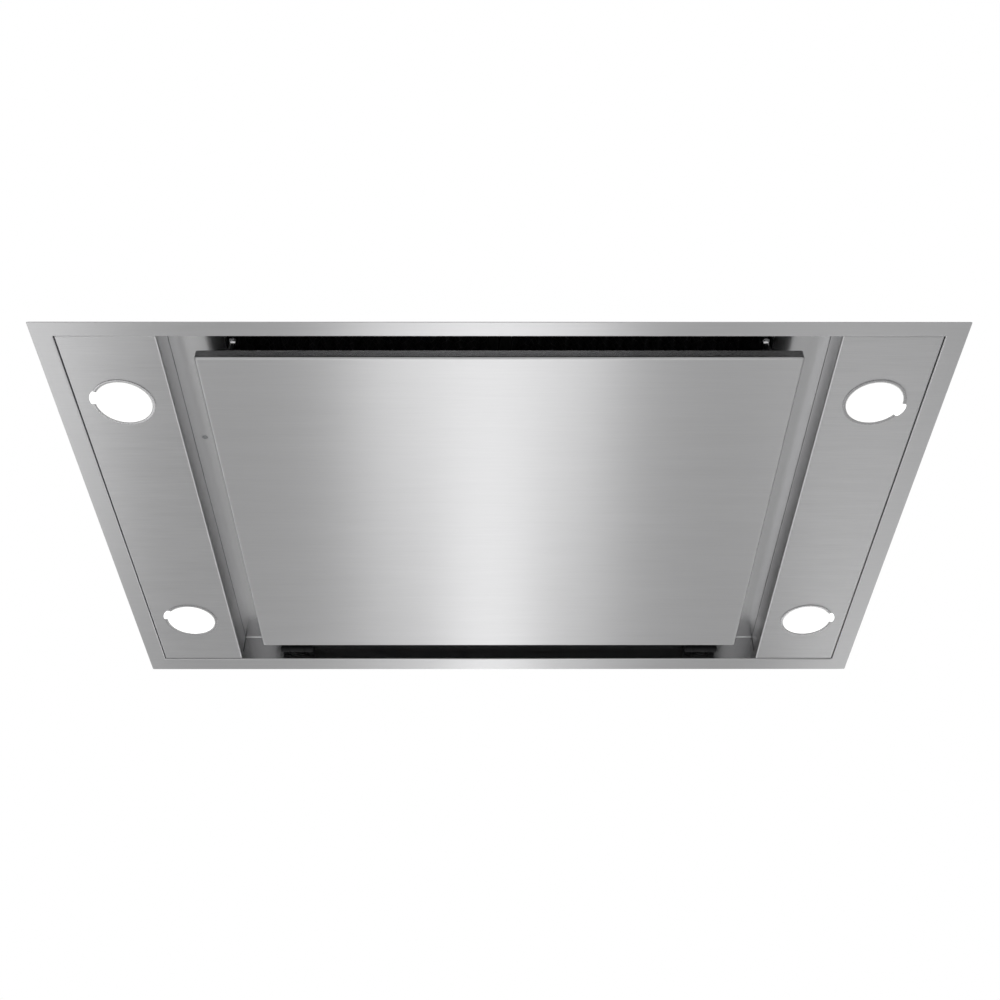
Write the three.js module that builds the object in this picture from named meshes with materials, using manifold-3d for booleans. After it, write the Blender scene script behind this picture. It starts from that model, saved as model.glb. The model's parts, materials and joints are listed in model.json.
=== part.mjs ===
// A flush ceiling range hood. A stainless frame closes the hole in the ceiling. Its hinged centre
// panel lets air in round its edges, and a lamp panel with two lamps lies on each side of it. Above
// them are two grease filters, a sheet steel casing and a fan box with a round outlet at the rear.
// Millimetres: X runs across the hood, Y from its front edge to its rear edge, Z up.
// The origin is the centre of the frame's underside.
import * as THREE from 'three';
import { mergeVertices } from 'three/addons/utils/BufferGeometryUtils.js';
import Module from 'manifold-3d';

const wasm = await Module();
wasm.setup();

// ---- Driving sizes ----

// Sheets and gaps
const rimSheet = 2; // stainless sheet of the outer frame
const faceSheet = 1.2; // stainless sheet of the panels and the inlet tray
const backSheet = 0.8; // sheet that closes the back of the centre panel
const caseSheet = 1.2; // galvanised sheet of the casing and the fan box
const fitGap = 0.3; // between pieces that touch
const seamGap = 0.5; // seam between a lamp panel and the frame
const caseRoom = 2; // between the frame's folds and the casing

// Outer frame
const hoodWidth = 900;
const hoodDepth = 600;
const rimSide = 20.5;
const rimFront = 18;
const rimRear = 23;
const rimFold = 8; // height of the low fold beside the lamp panels
const foldLap = 7; // how far the tall front and rear folds pass the recess

// Lamp panels and recess
const lampPanelWidth = 98.7;
const lampPanelLift = 1; // above the frame's underside
const lampPanelLip = 12; // height of the low folds
const lampPanelFlange = 12; // width of the fold under the tray
const recessHeight = 34.5;

// Lamps
const lampInsetFront = 91; // opening's front edge to the lamp's centre
const lampInsetRear = 86;
const lampInsetSide = 50.4; // side of the recess to the lamp's centre
const lensRadius = 29;
const lensThickness = 1.9;
const bezelSleeve = 16; // height
const bezelWall = 0.9;
const bezelLip = 1.8; // how far the lip covers the edge of its hole
const bezelShoulder = 1.5; // how far the lens is backed at its edge
const lampTabReach = 3;
const lampTabAngle = 22; // degrees of arc
const lampHousingHeight = 34;
const lampFinCount = 3;
const lampFinDepth = 8;

// Inlet tray
const ledgeSide = 56;
const ledgeFront = 26;
const ledgeRear = 28;
const trayFold = 20; // height of the fold against the casing
const filterLip = 12; // depth of the lip that carries the filters' rear edge
const sensorInset = 12; // from the side of the recess
const sensorY = -104;
const sensorRadius = 2.8;
const sensorCase = 7; // radius of the receiver's case
const sensorHeight = 9;

// Casing
const casingHeight = 112;
const hangerSize = 44;
const hangerHeight = 48;
const hangerSheet = 2.5;
const hangerInset = 30; // casing edge to the middle of the hanger
const hangerHole = 4.5; // radius, for an M8 rod

// Grease filters
const filterRise = 26.3; // tray to filter
const filterThickness = 10;
const filterGap = 1.5; // round each filter
const filterSideBar = 12;
const filterEndBar = 24;
const pleatPitch = 14;
const pleatSheet = 1.6;
const pleatMargin = 1; // mesh below and above inside its frame
const latchTravel = 6;
const latchWidth = 30;
const latchDepth = 20;
const latchSheet = 2.5;
const latchGrip = 8;
const latchNeck = 10; // width
const latchNeckDepth = 6;
const latchBolt = 16; // width
const latchReach = 4; // how far the bolt passes the wall
const latchHeadSide = 3; // head, beyond the neck
const latchHeadEnd = 2;
const latchHeadHeight = 2;

// Centre panel
const panelSideGap = 31;
const panelEndGap = 29.5; // to the front and rear walls of the recess
const panelLift = 1; // above the frame's underside
const panelEdge = 11; // height of its folded edges
const stiffenerWidth = 60;
const stiffenerPitch = 150;
const catchInset = 34; // catches, from the panel's side
const catchSetback = 6.5; // ball, from the panel's front edge
const ballRadius = 5;
const ballDrop = 3.5; // ball centre below the tray
const studRadius = 2.2;
const studFoot = 22;
const studSheet = 2.5;
const studMargin = 1; // foot to the panel's front edge
const clipLeaf = 1; // thickness
const clipWidth = 8;
const clipRise = 9; // ball centre to the clip's bridge
const clipBack = 22; // height of the clip's back plate
const clipEar = 2; // back plate, beyond the leaves

// Hinges
const hingeInset = 40; // from the panel's side
const hingeWallGap = 11; // axis to the rear wall of the recess
const hingeDrop = 2.5; // axis below the panel's back
const knuckleRadius = 4.5;
const hingePinRadius = 2;
const hingeWidth = 40;
const hingeSheet = 2.2;
const knuckleWidth = 19; // middle knuckle
const knuckleGap = 0.5;
const armReach = 32; // along the panel's back
const armFoot = 32; // width
const armMargin = 2; // foot to the panel's rear edge
const hingePinEnd = 1; // beyond the knuckles

// Fan
const impellerRadius = 100;
const impellerGap = 11.3; // impeller to motor
const impellerLap = 2; // front ring below the bell mouth's rim
const ringGap = 2.5; // front ring to bell mouth
const ringSheet = 3.5;
const discSheet = 2.5;
const bladeCount = 24;
const bladeDepth = 16;
const bladeSheet = 1.4;
const bladeSweep = 9; // degrees
const bladeBend = 0.3; // share of the sweep reached at mid depth
const bladeRoot = 0.5; // how far a blade runs into the ring and the disc
const tongueGap = 8; // impeller to the start of the scroll
const scrollGrowth = 70; // over one turn
const scrollWall = 1.5;
const tongueAngle = 50; // degrees
const fanY = -35;
const fanThrow = 248; // fan axis to the scroll's mouth
const fanRoomSide = 31.3; // scroll to fan box
const fanRoomFront = 16.8;
const boxFlange = 14; // foot of the fan box
const bellRadius = 86;
const bellSheet = 2;
const bellFoot = 12; // width of the ring under the scroll
const bellHeight = 7.4; // lifts the scroll off the casing
const bellNeck = 15; // above that ring
const hubRadius = 12;
const hubLength = 26;
const shaftRadius = 4;
const motorRadius = 48;
const motorFlange = 64; // radius
const motorPlate = 2.5;
const motorRise = 19; // above the scroll
const motorDrop = 33; // into the scroll
const motorBore = 14; // depth for the shaft
const motorClear = 2; // can to the scroll's cover
const coverRoom = 6.8; // motor to the fan box's cover
const coverLip = 12;
const coverBite = 0.5; // sheet into its lip

// Outlet
const spigotDiameter = 149.4; // outside, for a 150 mm duct
const spigotWall = 1.5;
const spigotLength = 60;
const spigotFlange = 13; // beyond the tube, at the sides
const damperSetback = 10; // pin from the fan box's wall
const damperSheet = 1.5;
const damperGap = 1.2; // flap to tube
const damperPinRadius = 2;
const damperSleeve = 4; // radius
const damperSleeveLength = 40;
const damperPinEnd = 3; // beyond the tube

// Controls
const controlWidth = 104;
const controlLength = 200;
const controlHeight = 46;
const controlWall = 2;
const controlGap = 2; // to the fan box's foot
const controlPost = 8; // height of the posts under the board
const postRadius = 3;
const postInset = 11; // from the box's walls
const lidRimGap = 1; // to the box's inner faces
const lidRim = 3; // depth below the lid
const boardGap = 1; // to the box's side walls
const boardEndGap = 3;
const boardSheet = 1.6;
const relayWidth = 28;
const relayLength = 22;
const relayHeight = 15.4;
const coilWidth = 32;
const coilLength = 38;
const coilHeight = 22.4;
const partInset = 12; // relay and coil, from the board's edges
const terminalWidth = 22;
const terminalLength = 56;
const terminalHeight = 18;
const terminalWays = 5;
const terminalMouth = 6.7; // width of each wire's way in
const terminalSlot = 6; // its depth
const terminalSill = 5.4; // its height above the board
const terminalRise = 9; // its own height
const terminalInset = 4; // from the box's side wall
const terminalSetback = 34; // from the box's front
const glandRadius = 8;
const glandNut = 11;
const glandBore = 4;
const glandRise = 27; // above the casing
const glandNose = 14; // in front of the box
const glandTail = 5; // inside the box
const glandNutDepth = 6;
const driverWidth = 50;
const driverLength = 150;
const driverHeight = 26;
const driverTab = 12;
const driverTabSheet = 2;

// Roundness: sides of the round forms
const wideSteps = 40;
const lampSteps = 28;
const finSteps = 16;
const smallSteps = 12;

// ---- Levels and edges that follow ----

const openX = hoodWidth / 2 - rimSide;
const openFront = -hoodDepth / 2 + rimFront;
const openRear = hoodDepth / 2 - rimRear;
const recessX = openX - seamGap - lampPanelWidth;
const ledgeZ = recessHeight;
const trayTop = ledgeZ + faceSheet;
const casingX = openX + rimSheet + caseRoom; // inner faces of the casing
const casingFront = openFront - rimSheet - caseRoom;
const casingRear = openRear + rimSheet + caseRoom;
const casingUnder = casingHeight - caseSheet;
const inletX = recessX - ledgeSide;
const inletFront = openFront + ledgeFront;
const inletRear = openRear - ledgeRear;
const filterZ = trayTop + filterRise;
const panelX = recessX - panelSideGap;
const panelFront = openFront + panelEndGap;
const panelRear = openRear - panelEndGap;
const panelTop = panelLift + panelEdge;
const catchX = panelX - catchInset;
const hingeX = panelX - hingeInset;
const ballY = panelFront + catchSetback;
const ballZ = ledgeZ - ballDrop;
const hingeY = openRear - hingeWallGap;
const hingeZ = panelTop - hingeDrop;
const lampRow = { front: openFront + lampInsetFront, rear: openRear - lampInsetRear };
const scrollStart = impellerRadius + tongueGap;
const scrollRadius = (turn) => scrollStart + scrollGrowth * turn; // turn counts from 0 to 1
const fanX = spigotDiameter / 2 - scrollRadius(1); // puts the scroll's mouth in the middle
const scrollMouth = fanY + fanThrow;
const scrollFloor = casingHeight + fitGap + bellHeight + fitGap;
const scrollTop = scrollFloor + scrollWall + spigotDiameter;
const coverTop = scrollTop + fitGap + scrollWall;
const motorSeat = coverTop + fitGap;
const motorFoot = motorSeat - motorDrop;
const motorTop = motorSeat + motorRise;
const boxTop = motorTop + coverRoom; // underside of the fan box's cover
const boxX = scrollRadius(0.5) - fanX + scrollWall + fanRoomSide; // inner faces of the fan box
const boxFront = fanY - scrollRadius(0.75) - scrollWall - fanRoomFront;
const boxRear = scrollMouth + fitGap;
const outletZ = scrollFloor + scrollWall + spigotDiameter / 2;
const spigotStart = boxRear + caseSheet + fitGap;
const damperY = spigotStart + damperSetback;
const bellTop = bellHeight + bellNeck;
const impellerFoot = casingHeight + fitGap + bellTop - impellerLap;
const impellerHeight = motorFoot - impellerGap - impellerFoot;

// ---- Shapes: every solid starts as a three.js geometry ----

const radians = THREE.MathUtils.degToRad;

function toSolid(geometry) {
  geometry.deleteAttribute('normal');
  geometry.deleteAttribute('uv');
  const merged = mergeVertices(geometry, 1e-4);
  return new wasm.Manifold(new wasm.Mesh({
    numProp: 3,
    vertProperties: merged.attributes.position.array,
    triVerts: new Uint32Array(merged.index.array),
  }));
}

function toGeometry(solid) {
  const { vertProperties, triVerts } = solid.getMesh();
  const geometry = new THREE.BufferGeometry();
  geometry.setAttribute('position', new THREE.BufferAttribute(vertProperties, 3));
  geometry.setIndex(new THREE.BufferAttribute(triVerts, 1));
  const faceted = geometry.toNonIndexed();
  faceted.computeVertexNormals();
  return faceted;
}

const join = (first, ...others) => others.reduce((sum, solid) => sum.add(solid), first);
const cut = (first, ...others) => others.reduce((rest, solid) => rest.subtract(solid), first);

// A box from its low and high faces along each axis.
function block([x0, x1], [y0, y1], [z0, z1]) {
  const geometry = new THREE.BoxGeometry(x1 - x0, y1 - y0, z1 - z0);
  return toSolid(geometry.translate((x0 + x1) / 2, (y0 + y1) / 2, (z0 + z1) / 2));
}

// A round bar along an axis, from one end to the other, round a centre in the other two axes.
function rod(axis, radius, [from, to], [u, v], steps = smallSteps) {
  const geometry = new THREE.CylinderGeometry(radius, radius, to - from, steps);
  geometry.rotateX(Math.PI / 2).translate(0, 0, (from + to) / 2);
  if (axis === 'x') geometry.rotateY(Math.PI / 2).translate(0, u, v);
  if (axis === 'y') geometry.rotateX(-Math.PI / 2).translate(u, 0, v);
  if (axis === 'z') geometry.translate(u, v, 0);
  return toSolid(geometry);
}

// A turned form round Z: its profile is a list of [radius, z], anticlockwise.
function turned(profile, steps) {
  const points = profile.map(([radius, z]) => new THREE.Vector2(radius, z));
  return toSolid(new THREE.LatheGeometry(points, steps).rotateX(Math.PI / 2));
}

// A turned ring: its profile closes on itself.
const turnedRing = (profile, steps) => turned([...profile, profile[0]], steps);

function drawnOut(points, depth) {
  const shape = new THREE.Shape(points.map(([u, v]) => new THREE.Vector2(u, v)));
  return new THREE.ExtrudeGeometry(shape, { depth, bevelEnabled: false });
}

// A flat outline in X and Y, raised from one level to another.
function raised(points, [z0, z1]) {
  return toSolid(drawnOut(points, z1 - z0).translate(0, 0, z0));
}

// An outline in X and Z, drawn out along Y.
function drawnAlongY(points, [y0, y1]) {
  return toSolid(drawnOut(points, y1 - y0).rotateX(Math.PI / 2).translate(0, y1, 0));
}

// Four walls that stand outside the given faces.
function wallsRound([x0, x1], [y0, y1], [z0, z1], wall) {
  const outside = block([x0 - wall, x1 + wall], [y0 - wall, y1 + wall], [z0, z1]);
  return cut(outside, block([x0, x1], [y0, y1], [z0 - 1, z1 + 1]));
}

function arcPoints(radius, fromDegrees, toDegrees, count) {
  return Array.from({ length: count + 1 }, (_, i) => {
    const angle = radians(fromDegrees + ((toDegrees - fromDegrees) * i) / count);
    return [radius * Math.cos(angle), radius * Math.sin(angle)];
  });
}

// ---- Finishes ----

function finish(color, roughness, metalness) {
  return new THREE.MeshStandardMaterial({ color, roughness, metalness });
}

const stainless = finish(0xb4b5b6, 0.32, 1);
const polishedSteel = finish(0xd8d9da, 0.12, 1);
const galvanised = finish(0x9fa4a8, 0.5, 0.9);
const aluminium = finish(0xaeb1b4, 0.42, 0.9);
const blackAluminium = finish(0x232426, 0.6, 0.4);
const darkSteel = finish(0x2e2f31, 0.45, 0.8);
const blackPlastic = finish(0x1b1c1e, 0.55, 0);
const greyPlastic = finish(0x6d7073, 0.5, 0);
const boardGreen = finish(0x1f5a3a, 0.5, 0);
const lampWhite = new THREE.MeshStandardMaterial({ color: 0xf6f6f4, roughness: 0.4, emissive: 0xffffff });

const hood = new THREE.Group();

function addPiece(parent, name, solid, material) {
  const mesh = new THREE.Mesh(toGeometry(solid), material);
  mesh.name = name;
  parent.add(mesh);
  return mesh;
}

const sides = [['left', -1], ['right', 1]];
const ends = [['front', -1], ['rear', 1]];

// ---- Outer frame: a flat rim, folded up round its opening ----

function makeRimFrame() {
  const opening = [[-openX, openX], [openFront, openRear]];
  const plate = block([-hoodWidth / 2, hoodWidth / 2], [-hoodDepth / 2, hoodDepth / 2], [0, rimSheet]);
  const lowFold = wallsRound(...opening, [0, rimFold], rimSheet);
  const foldX = recessX + foldLap;
  const tallFolds = [[openFront - rimSheet, openFront], [openRear, openRear + rimSheet]].map((across) =>
    block([-foldX, foldX], across, [0, ledgeZ - fitGap]));
  const solid = join(cut(plate, block(...opening, [-1, rimSheet + 1])), lowFold, ...tallFolds);
  addPiece(hood, 'rim_frame', solid, stainless);
}

// ---- Lamp panels: folded trays beside the recess. Their tall inner fold is its side wall ----

const lampHole = lensRadius + fitGap + bezelWall + fitGap; // radius

function makeLampPanels() {
  const width = lampPanelWidth;
  const top = ledgeZ - fitGap - lampPanelLift;
  const profile = [
    [0, 0], [width, 0], [width, lampPanelLip], [width - faceSheet, lampPanelLip],
    [width - faceSheet, faceSheet], [faceSheet, faceSheet], [faceSheet, top - faceSheet],
    [lampPanelFlange, top - faceSheet], [lampPanelFlange, top], [0, top],
  ];
  const front = openFront + seamGap;
  const rear = openRear - seamGap;
  const endFolds = [[front, front + faceSheet], [rear - faceSheet, rear]].map((along) =>
    block([0, width], along, [0, lampPanelLip]));
  const holes = ends.map(([end]) =>
    rod('z', lampHole, [-1, faceSheet + 1], [lampInsetSide, lampRow[end]], lampSteps));
  const solid = cut(join(drawnAlongY(profile, [front, rear]), ...endFolds), ...holes);
  for (const [side, sign] of sides) {
    const panel = addPiece(hood, `lamp_panel_${side}`, solid, stainless);
    panel.scale.x = sign;
    panel.position.set(sign * recessX, 0, lampPanelLift);
  }
}

// ---- Lamps: a bezel with a finger tab, a frosted lens and a finned housing ----

function makeBezel() {
  const seat = lensRadius + fitGap;
  const sleeve = seat + bezelWall;
  const lip = sleeve + bezelLip;
  const lipTop = lampPanelLift - fitGap;
  const shoulder = lensRadius - bezelShoulder;
  const shoulderZ = lensThickness + 2 * fitGap;
  const ring = turnedRing([
    [seat, 0], [lip, 0], [lip, lipTop], [sleeve, lipTop], [sleeve, bezelSleeve],
    [shoulder, bezelSleeve], [shoulder, shoulderZ], [seat, shoulderZ],
  ], lampSteps);
  const half = lampTabAngle / 2;
  const tab = raised([
    ...arcPoints(lip + lampTabReach, -half, half, 5), ...arcPoints(sleeve, half, -half, 5),
  ], [0, lipTop]);
  return join(ring, tab);
}

function makeLampHousing() {
  const radius = lensRadius + fitGap + bezelWall;
  const core = radius - lampFinDepth;
  const step = lampHousingHeight / (2 * lampFinCount + 1);
  const fins = Array.from({ length: lampFinCount + 1 }, (_, i) => [
    [radius, 2 * i * step], [radius, (2 * i + 1) * step],
    [core, (2 * i + 1) * step], [core, (2 * i + 2) * step],
  ]).flat().slice(0, -2);
  return turned([[0, 0], ...fins, [0, lampHousingHeight]], finSteps);
}

function makeLamps() {
  const bezel = makeBezel();
  const lens = rod('z', lensRadius, [fitGap, fitGap + lensThickness], [0, 0], lampSteps);
  const housing = makeLampHousing();
  for (const [end] of ends) {
    for (const [side, sign] of sides) {
      const lamp = new THREE.Group();
      lamp.position.set(sign * (recessX + lampInsetSide), lampRow[end], 0);
      lamp.rotation.z = sign < 0 ? Math.PI : 0; // the tab points outwards
      addPiece(lamp, `lamp_bezel_${end}_${side}`, bezel, polishedSteel);
      addPiece(lamp, `lamp_lens_${end}_${side}`, lens, lampWhite);
      addPiece(lamp, `lamp_housing_${end}_${side}`, housing, aluminium).position.z = bezelSleeve + fitGap;
      hood.add(lamp);
    }
  }
}

// ---- Inlet tray: the ledge round the recess and the walls of the inlet above it ----

const filterWidth = inletX - filterGap - fitGap;
const filterMiddle = fitGap + filterWidth / 2;
const boltZ = filterZ - fitGap - latchSheet; // underside of the latch plate and its bolt

function makeInletTray() {
  const halfX = recessX + lampPanelFlange + faceSheet;
  const front = casingFront + fitGap;
  const rear = casingRear - fitGap;
  const inlet = [[-inletX, inletX], [inletFront, inletRear]];
  const plate = block([-halfX, halfX], [front, rear], [ledgeZ, trayTop]);
  const ledge = cut(plate, block(...inlet, [0, trayTop + 1]));
  const walls = wallsRound(...inlet, [ledgeZ, casingUnder - fitGap], faceSheet);
  const folds = [[front, front + faceSheet], [rear - faceSheet, rear]].map((across) =>
    block([-halfX, halfX], across, [ledgeZ, ledgeZ + trayFold]));
  const lipTop = filterZ - fitGap;
  const lip = block([-inletX, inletX], [inletRear - filterLip, inletRear], [lipTop - faceSheet, lipTop]);
  const boltHoles = sides.map(([, sign]) => {
    const half = latchBolt / 2 + fitGap;
    const middle = sign * filterMiddle;
    const across = [inletFront - faceSheet - 1, inletFront + 1];
    return block([middle - half, middle + half], across, [boltZ - fitGap, boltZ + latchSheet + fitGap]);
  });
  const sensorPlace = [-recessX + sensorInset, sensorY];
  const sensorHole = rod('z', sensorRadius + fitGap, [ledgeZ - 1, trayTop + 1], sensorPlace);
  addPiece(hood, 'inlet_tray', cut(join(ledge, walls, ...folds, lip), ...boltHoles, sensorHole), stainless);
}

function makeSensor() {
  const eye = rod('z', sensorRadius, [0, faceSheet + 2 * fitGap], [0, 0]);
  const foot = faceSheet + fitGap;
  const body = rod('z', sensorCase, [foot, foot + sensorHeight], [0, 0]);
  const sensor = addPiece(hood, 'remote_receiver', join(eye, body), blackPlastic);
  sensor.position.set(-recessX + sensorInset, sensorY, ledgeZ);
}

// ---- Casing round the filters and the lamps ----

function makeCasing() {
  const faces = [[-casingX, casingX], [casingFront, casingRear]];
  const walls = wallsRound(...faces, [rimSheet + fitGap, casingUnder - fitGap], caseSheet);
  addPiece(hood, 'casing_walls', walls, galvanised);
  const [acrossX, acrossY] = faces.map(([low, high]) => [low - caseSheet, high + caseSheet]);
  const fanHole = rod('z', bellRadius, [0, casingHeight + 1], [fanX, fanY], wideSteps);
  const top = cut(block(acrossX, acrossY, [casingUnder, casingHeight]), fanHole);
  addPiece(hood, 'casing_top', top, galvanised);
}

// ---- Hangers for the ceiling rods: a foot, an upright and a top tab with a hole ----

function makeHangers() {
  const half = hangerSize / 2;
  const foot = block([-half, half], [-half, half], [0, hangerSheet]);
  const upright = block([half - hangerSheet, half], [-half, half], [0, hangerHeight]);
  const tab = block([-half, half], [-half, half], [hangerHeight - hangerSheet, hangerHeight]);
  const hole = rod('z', hangerHole, [hangerHeight - hangerSheet - 1, hangerHeight + 1], [0, 0]);
  const solid = cut(join(foot, upright, tab), hole);
  const rows = { front: casingFront - caseSheet + hangerInset, rear: casingRear + caseSheet - hangerInset };
  for (const [end] of ends) {
    for (const [side, sign] of sides) {
      const hanger = addPiece(hood, `hanger_${end}_${side}`, solid, galvanised);
      hanger.position.set(sign * (casingX + caseSheet - hangerInset), rows[end], casingHeight + fitGap);
      hanger.rotation.z = sign < 0 ? Math.PI : 0; // the upright stands outboard
    }
  }
}

// ---- Grease filters: a frame, a pleated mesh and a sprung latch on the front bar ----

const filterFront = inletFront + filterGap;
const filterRear = inletRear - filterGap;
const neckFront = filterFront + (filterEndBar - latchNeckDepth - latchTravel) / 2;

function makeFilterFrame() {
  const half = filterWidth / 2;
  const height = [0, filterThickness];
  const windowX = [-half + filterSideBar, half - filterSideBar];
  const windowY = [filterFront + filterEndBar, filterRear - filterEndBar];
  const slotX = latchNeck / 2 + fitGap;
  const slotY = [neckFront - fitGap, neckFront + latchNeckDepth + latchTravel + fitGap];
  return cut(
    block([-half, half], [filterFront, filterRear], height),
    block(windowX, windowY, [-1, filterThickness + 1]),
    block([-slotX, slotX], slotY, [-1, filterThickness + 1]),
  );
}

// The pleats run from front to rear, so their zigzag lies in X and Z.
function makeFilterMesh() {
  const half = filterWidth / 2 - filterSideBar - fitGap;
  const count = Math.max(2, Math.round((2 * half) / pleatPitch));
  const rise = filterThickness - pleatSheet - 2 * pleatMargin;
  const lower = Array.from({ length: 2 * count + 1 }, (_, i) => [
    -half + (half * i) / count, pleatMargin + (i % 2) * rise,
  ]);
  const upper = lower.map(([x, z]) => [x, z + pleatSheet]).reverse();
  const along = [filterFront + filterEndBar + fitGap, filterRear - filterEndBar - fitGap];
  return drawnAlongY([...lower, ...upper], along);
}

function makeLatch() {
  const half = latchWidth / 2;
  const neck = [neckFront, neckFront + latchNeckDepth];
  const middle = (neck[0] + neck[1]) / 2;
  const plateY = [middle - latchDepth / 2, middle + latchDepth / 2];
  const under = -fitGap - latchSheet;
  const plate = block([-half, half], plateY, [under, -fitGap]);
  const grip = block([-half, half], [plateY[1] - latchSheet, plateY[1]], [under - latchGrip, under]);
  const boltTip = inletFront - faceSheet - latchReach;
  const bolt = block([-latchBolt / 2, latchBolt / 2], [boltTip, middle], [under, -fitGap]);
  const neckHalf = latchNeck / 2;
  const headFoot = filterThickness + fitGap;
  const post = block([-neckHalf, neckHalf], neck, [under, headFoot]);
  const headHalf = neckHalf + latchHeadSide;
  const headY = [neck[0] - latchHeadEnd, neck[1] + latchHeadEnd];
  const head = block([-headHalf, headHalf], headY, [headFoot, headFoot + latchHeadHeight]);
  return join(plate, grip, bolt, post, head);
}

function makeFilters() {
  const frame = makeFilterFrame();
  const mesh = makeFilterMesh();
  const latch = makeLatch();
  for (const [side, sign] of sides) {
    const filter = new THREE.Group();
    filter.position.set(sign * filterMiddle, 0, filterZ);
    addPiece(filter, `filter_frame_${side}`, frame, blackAluminium);
    addPiece(filter, `filter_mesh_${side}`, mesh, blackAluminium);
    addPiece(filter, `filter_latch_${side}`, latch, blackPlastic);
    hood.add(filter);
  }
}

// ---- Centre panel: a folded face, a closed back, two hinge arms and two catch studs ----

function makeCentrePanel() {
  const inner = panelX - faceSheet;
  const outside = block([-panelX, panelX], [panelFront, panelRear], [panelLift, panelTop]);
  const innerY = [panelFront + faceSheet, panelRear - faceSheet];
  const pan = cut(outside, block([-inner, inner], innerY, [panelLift + faceSheet, panelTop + 1]));
  addPiece(hood, 'centre_panel', pan, stainless);

  const backX = inner - fitGap;
  const backY = [innerY[0] + fitGap, innerY[1] - fitGap];
  const floor = panelLift + faceSheet + fitGap;
  const sheet = block([-backX, backX], backY, [panelTop - backSheet, panelTop]);
  const ribs = [-stiffenerPitch, 0, stiffenerPitch].map((middle) => {
    const half = stiffenerWidth / 2;
    const rib = block([middle - half, middle + half], backY, [floor, panelTop]);
    const hollow = [middle - half + backSheet, middle + half - backSheet];
    return cut(rib, block(hollow, [backY[0] - 1, backY[1] + 1], [floor + backSheet, panelTop + 1]));
  });
  addPiece(hood, 'panel_back', join(sheet, ...ribs), darkSteel);
}

function makeCatches() {
  const half = ballRadius + fitGap; // inner faces of the clip's leaves
  const bridgeZ = ballZ + clipRise;
  const leafY = [ballY - clipWidth / 2, ballY + clipWidth / 2];
  const leaves = sides.map(([, sign]) => {
    const faces = [sign * half, sign * (half + clipLeaf)].sort((a, b) => a - b);
    return block(faces, leafY, [ballZ - ballRadius, bridgeZ + clipLeaf]);
  });
  const wide = half + clipLeaf;
  const back = [inletFront + fitGap, inletFront + fitGap + clipLeaf];
  const bridge = block([-wide, wide], [back[0], leafY[1]], [bridgeZ, bridgeZ + clipLeaf]);
  const plate = block([-wide - clipEar, wide + clipEar], back, [bridgeZ, bridgeZ + clipBack]);
  const clip = join(bridge, plate, ...leaves);

  const foot = panelTop + fitGap;
  const footHalf = studFoot / 2;
  const baseY = [panelFront + studMargin, ballY + footHalf];
  const base = block([-footHalf, footHalf], baseY, [foot, foot + studSheet]);
  const post = rod('z', studRadius, [foot, ballZ], [0, ballY]);
  const sphere = toSolid(new THREE.SphereGeometry(ballRadius, smallSteps, 8).translate(0, ballY, ballZ));
  const stud = join(base, post, sphere);
  for (const [side, sign] of sides) {
    addPiece(hood, `panel_catch_${side}`, clip, darkSteel).position.x = sign * catchX;
    addPiece(hood, `catch_stud_${side}`, stud, polishedSteel).position.x = sign * catchX;
  }
}

function makeHinges() {
  const axis = [hingeY, hingeZ];
  const bore = rod('x', hingePinRadius + fitGap, [-hingeWidth, hingeWidth], axis);
  const half = hingeWidth / 2;
  const middle = knuckleWidth / 2;
  const wall = openRear - fitGap;
  const leafZ = [hingeZ - knuckleRadius, ledgeZ - fitGap - knuckleRadius];
  const leaf = block([-half, half], [wall - hingeSheet, wall], leafZ);
  const outer = [[-half, -middle - knuckleGap], [middle + knuckleGap, half]].map((along) => join(
    rod('x', knuckleRadius, along, axis),
    block(along, [hingeY, wall], [hingeZ, hingeZ + knuckleRadius]),
  ));
  const fixed = cut(join(leaf, ...outer), bore);
  const pin = rod('x', hingePinRadius, [-half - hingePinEnd, half + hingePinEnd], axis);

  const foot = [panelTop + fitGap, panelTop + fitGap + hingeSheet];
  const plate = block([-armFoot / 2, armFoot / 2], [panelRear - armReach, panelRear - armMargin], foot);
  const strap = block([-middle, middle], [panelRear - armReach, hingeY], foot);
  const arm = cut(join(rod('x', knuckleRadius, [-middle, middle], axis), strap, plate), bore);
  for (const [side, sign] of sides) {
    addPiece(hood, `hinge_leaf_${side}`, fixed, darkSteel).position.x = sign * hingeX;
    addPiece(hood, `hinge_pin_${side}`, pin, polishedSteel).position.x = sign * hingeX;
    addPiece(hood, `hinge_arm_${side}`, arm, darkSteel).position.x = sign * hingeX;
  }
}

// ---- Fan: a bell mouth, a spiral scroll, an impeller on the motor's shaft ----

// The scroll's plan: from the mouth's inner corner to the tongue, once round the spiral and back.
function scrollOutline(offset, mouth) {
  const steps = 30;
  const turns = Array.from({ length: steps + 1 }, (_, i) => {
    const first = tongueAngle / 360;
    return first + ((1 - first) * i) / steps;
  });
  const spiral = turns.map((turn) => {
    const radius = scrollRadius(turn) + offset;
    const angle = 2 * Math.PI * turn;
    return [radius * Math.cos(angle), radius * Math.sin(angle)];
  });
  const outerX = scrollRadius(1) + offset;
  const innerX = scrollRadius(1) - spigotDiameter - offset;
  return [[innerX, mouth], ...spiral, [outerX, mouth]];
}

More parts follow.
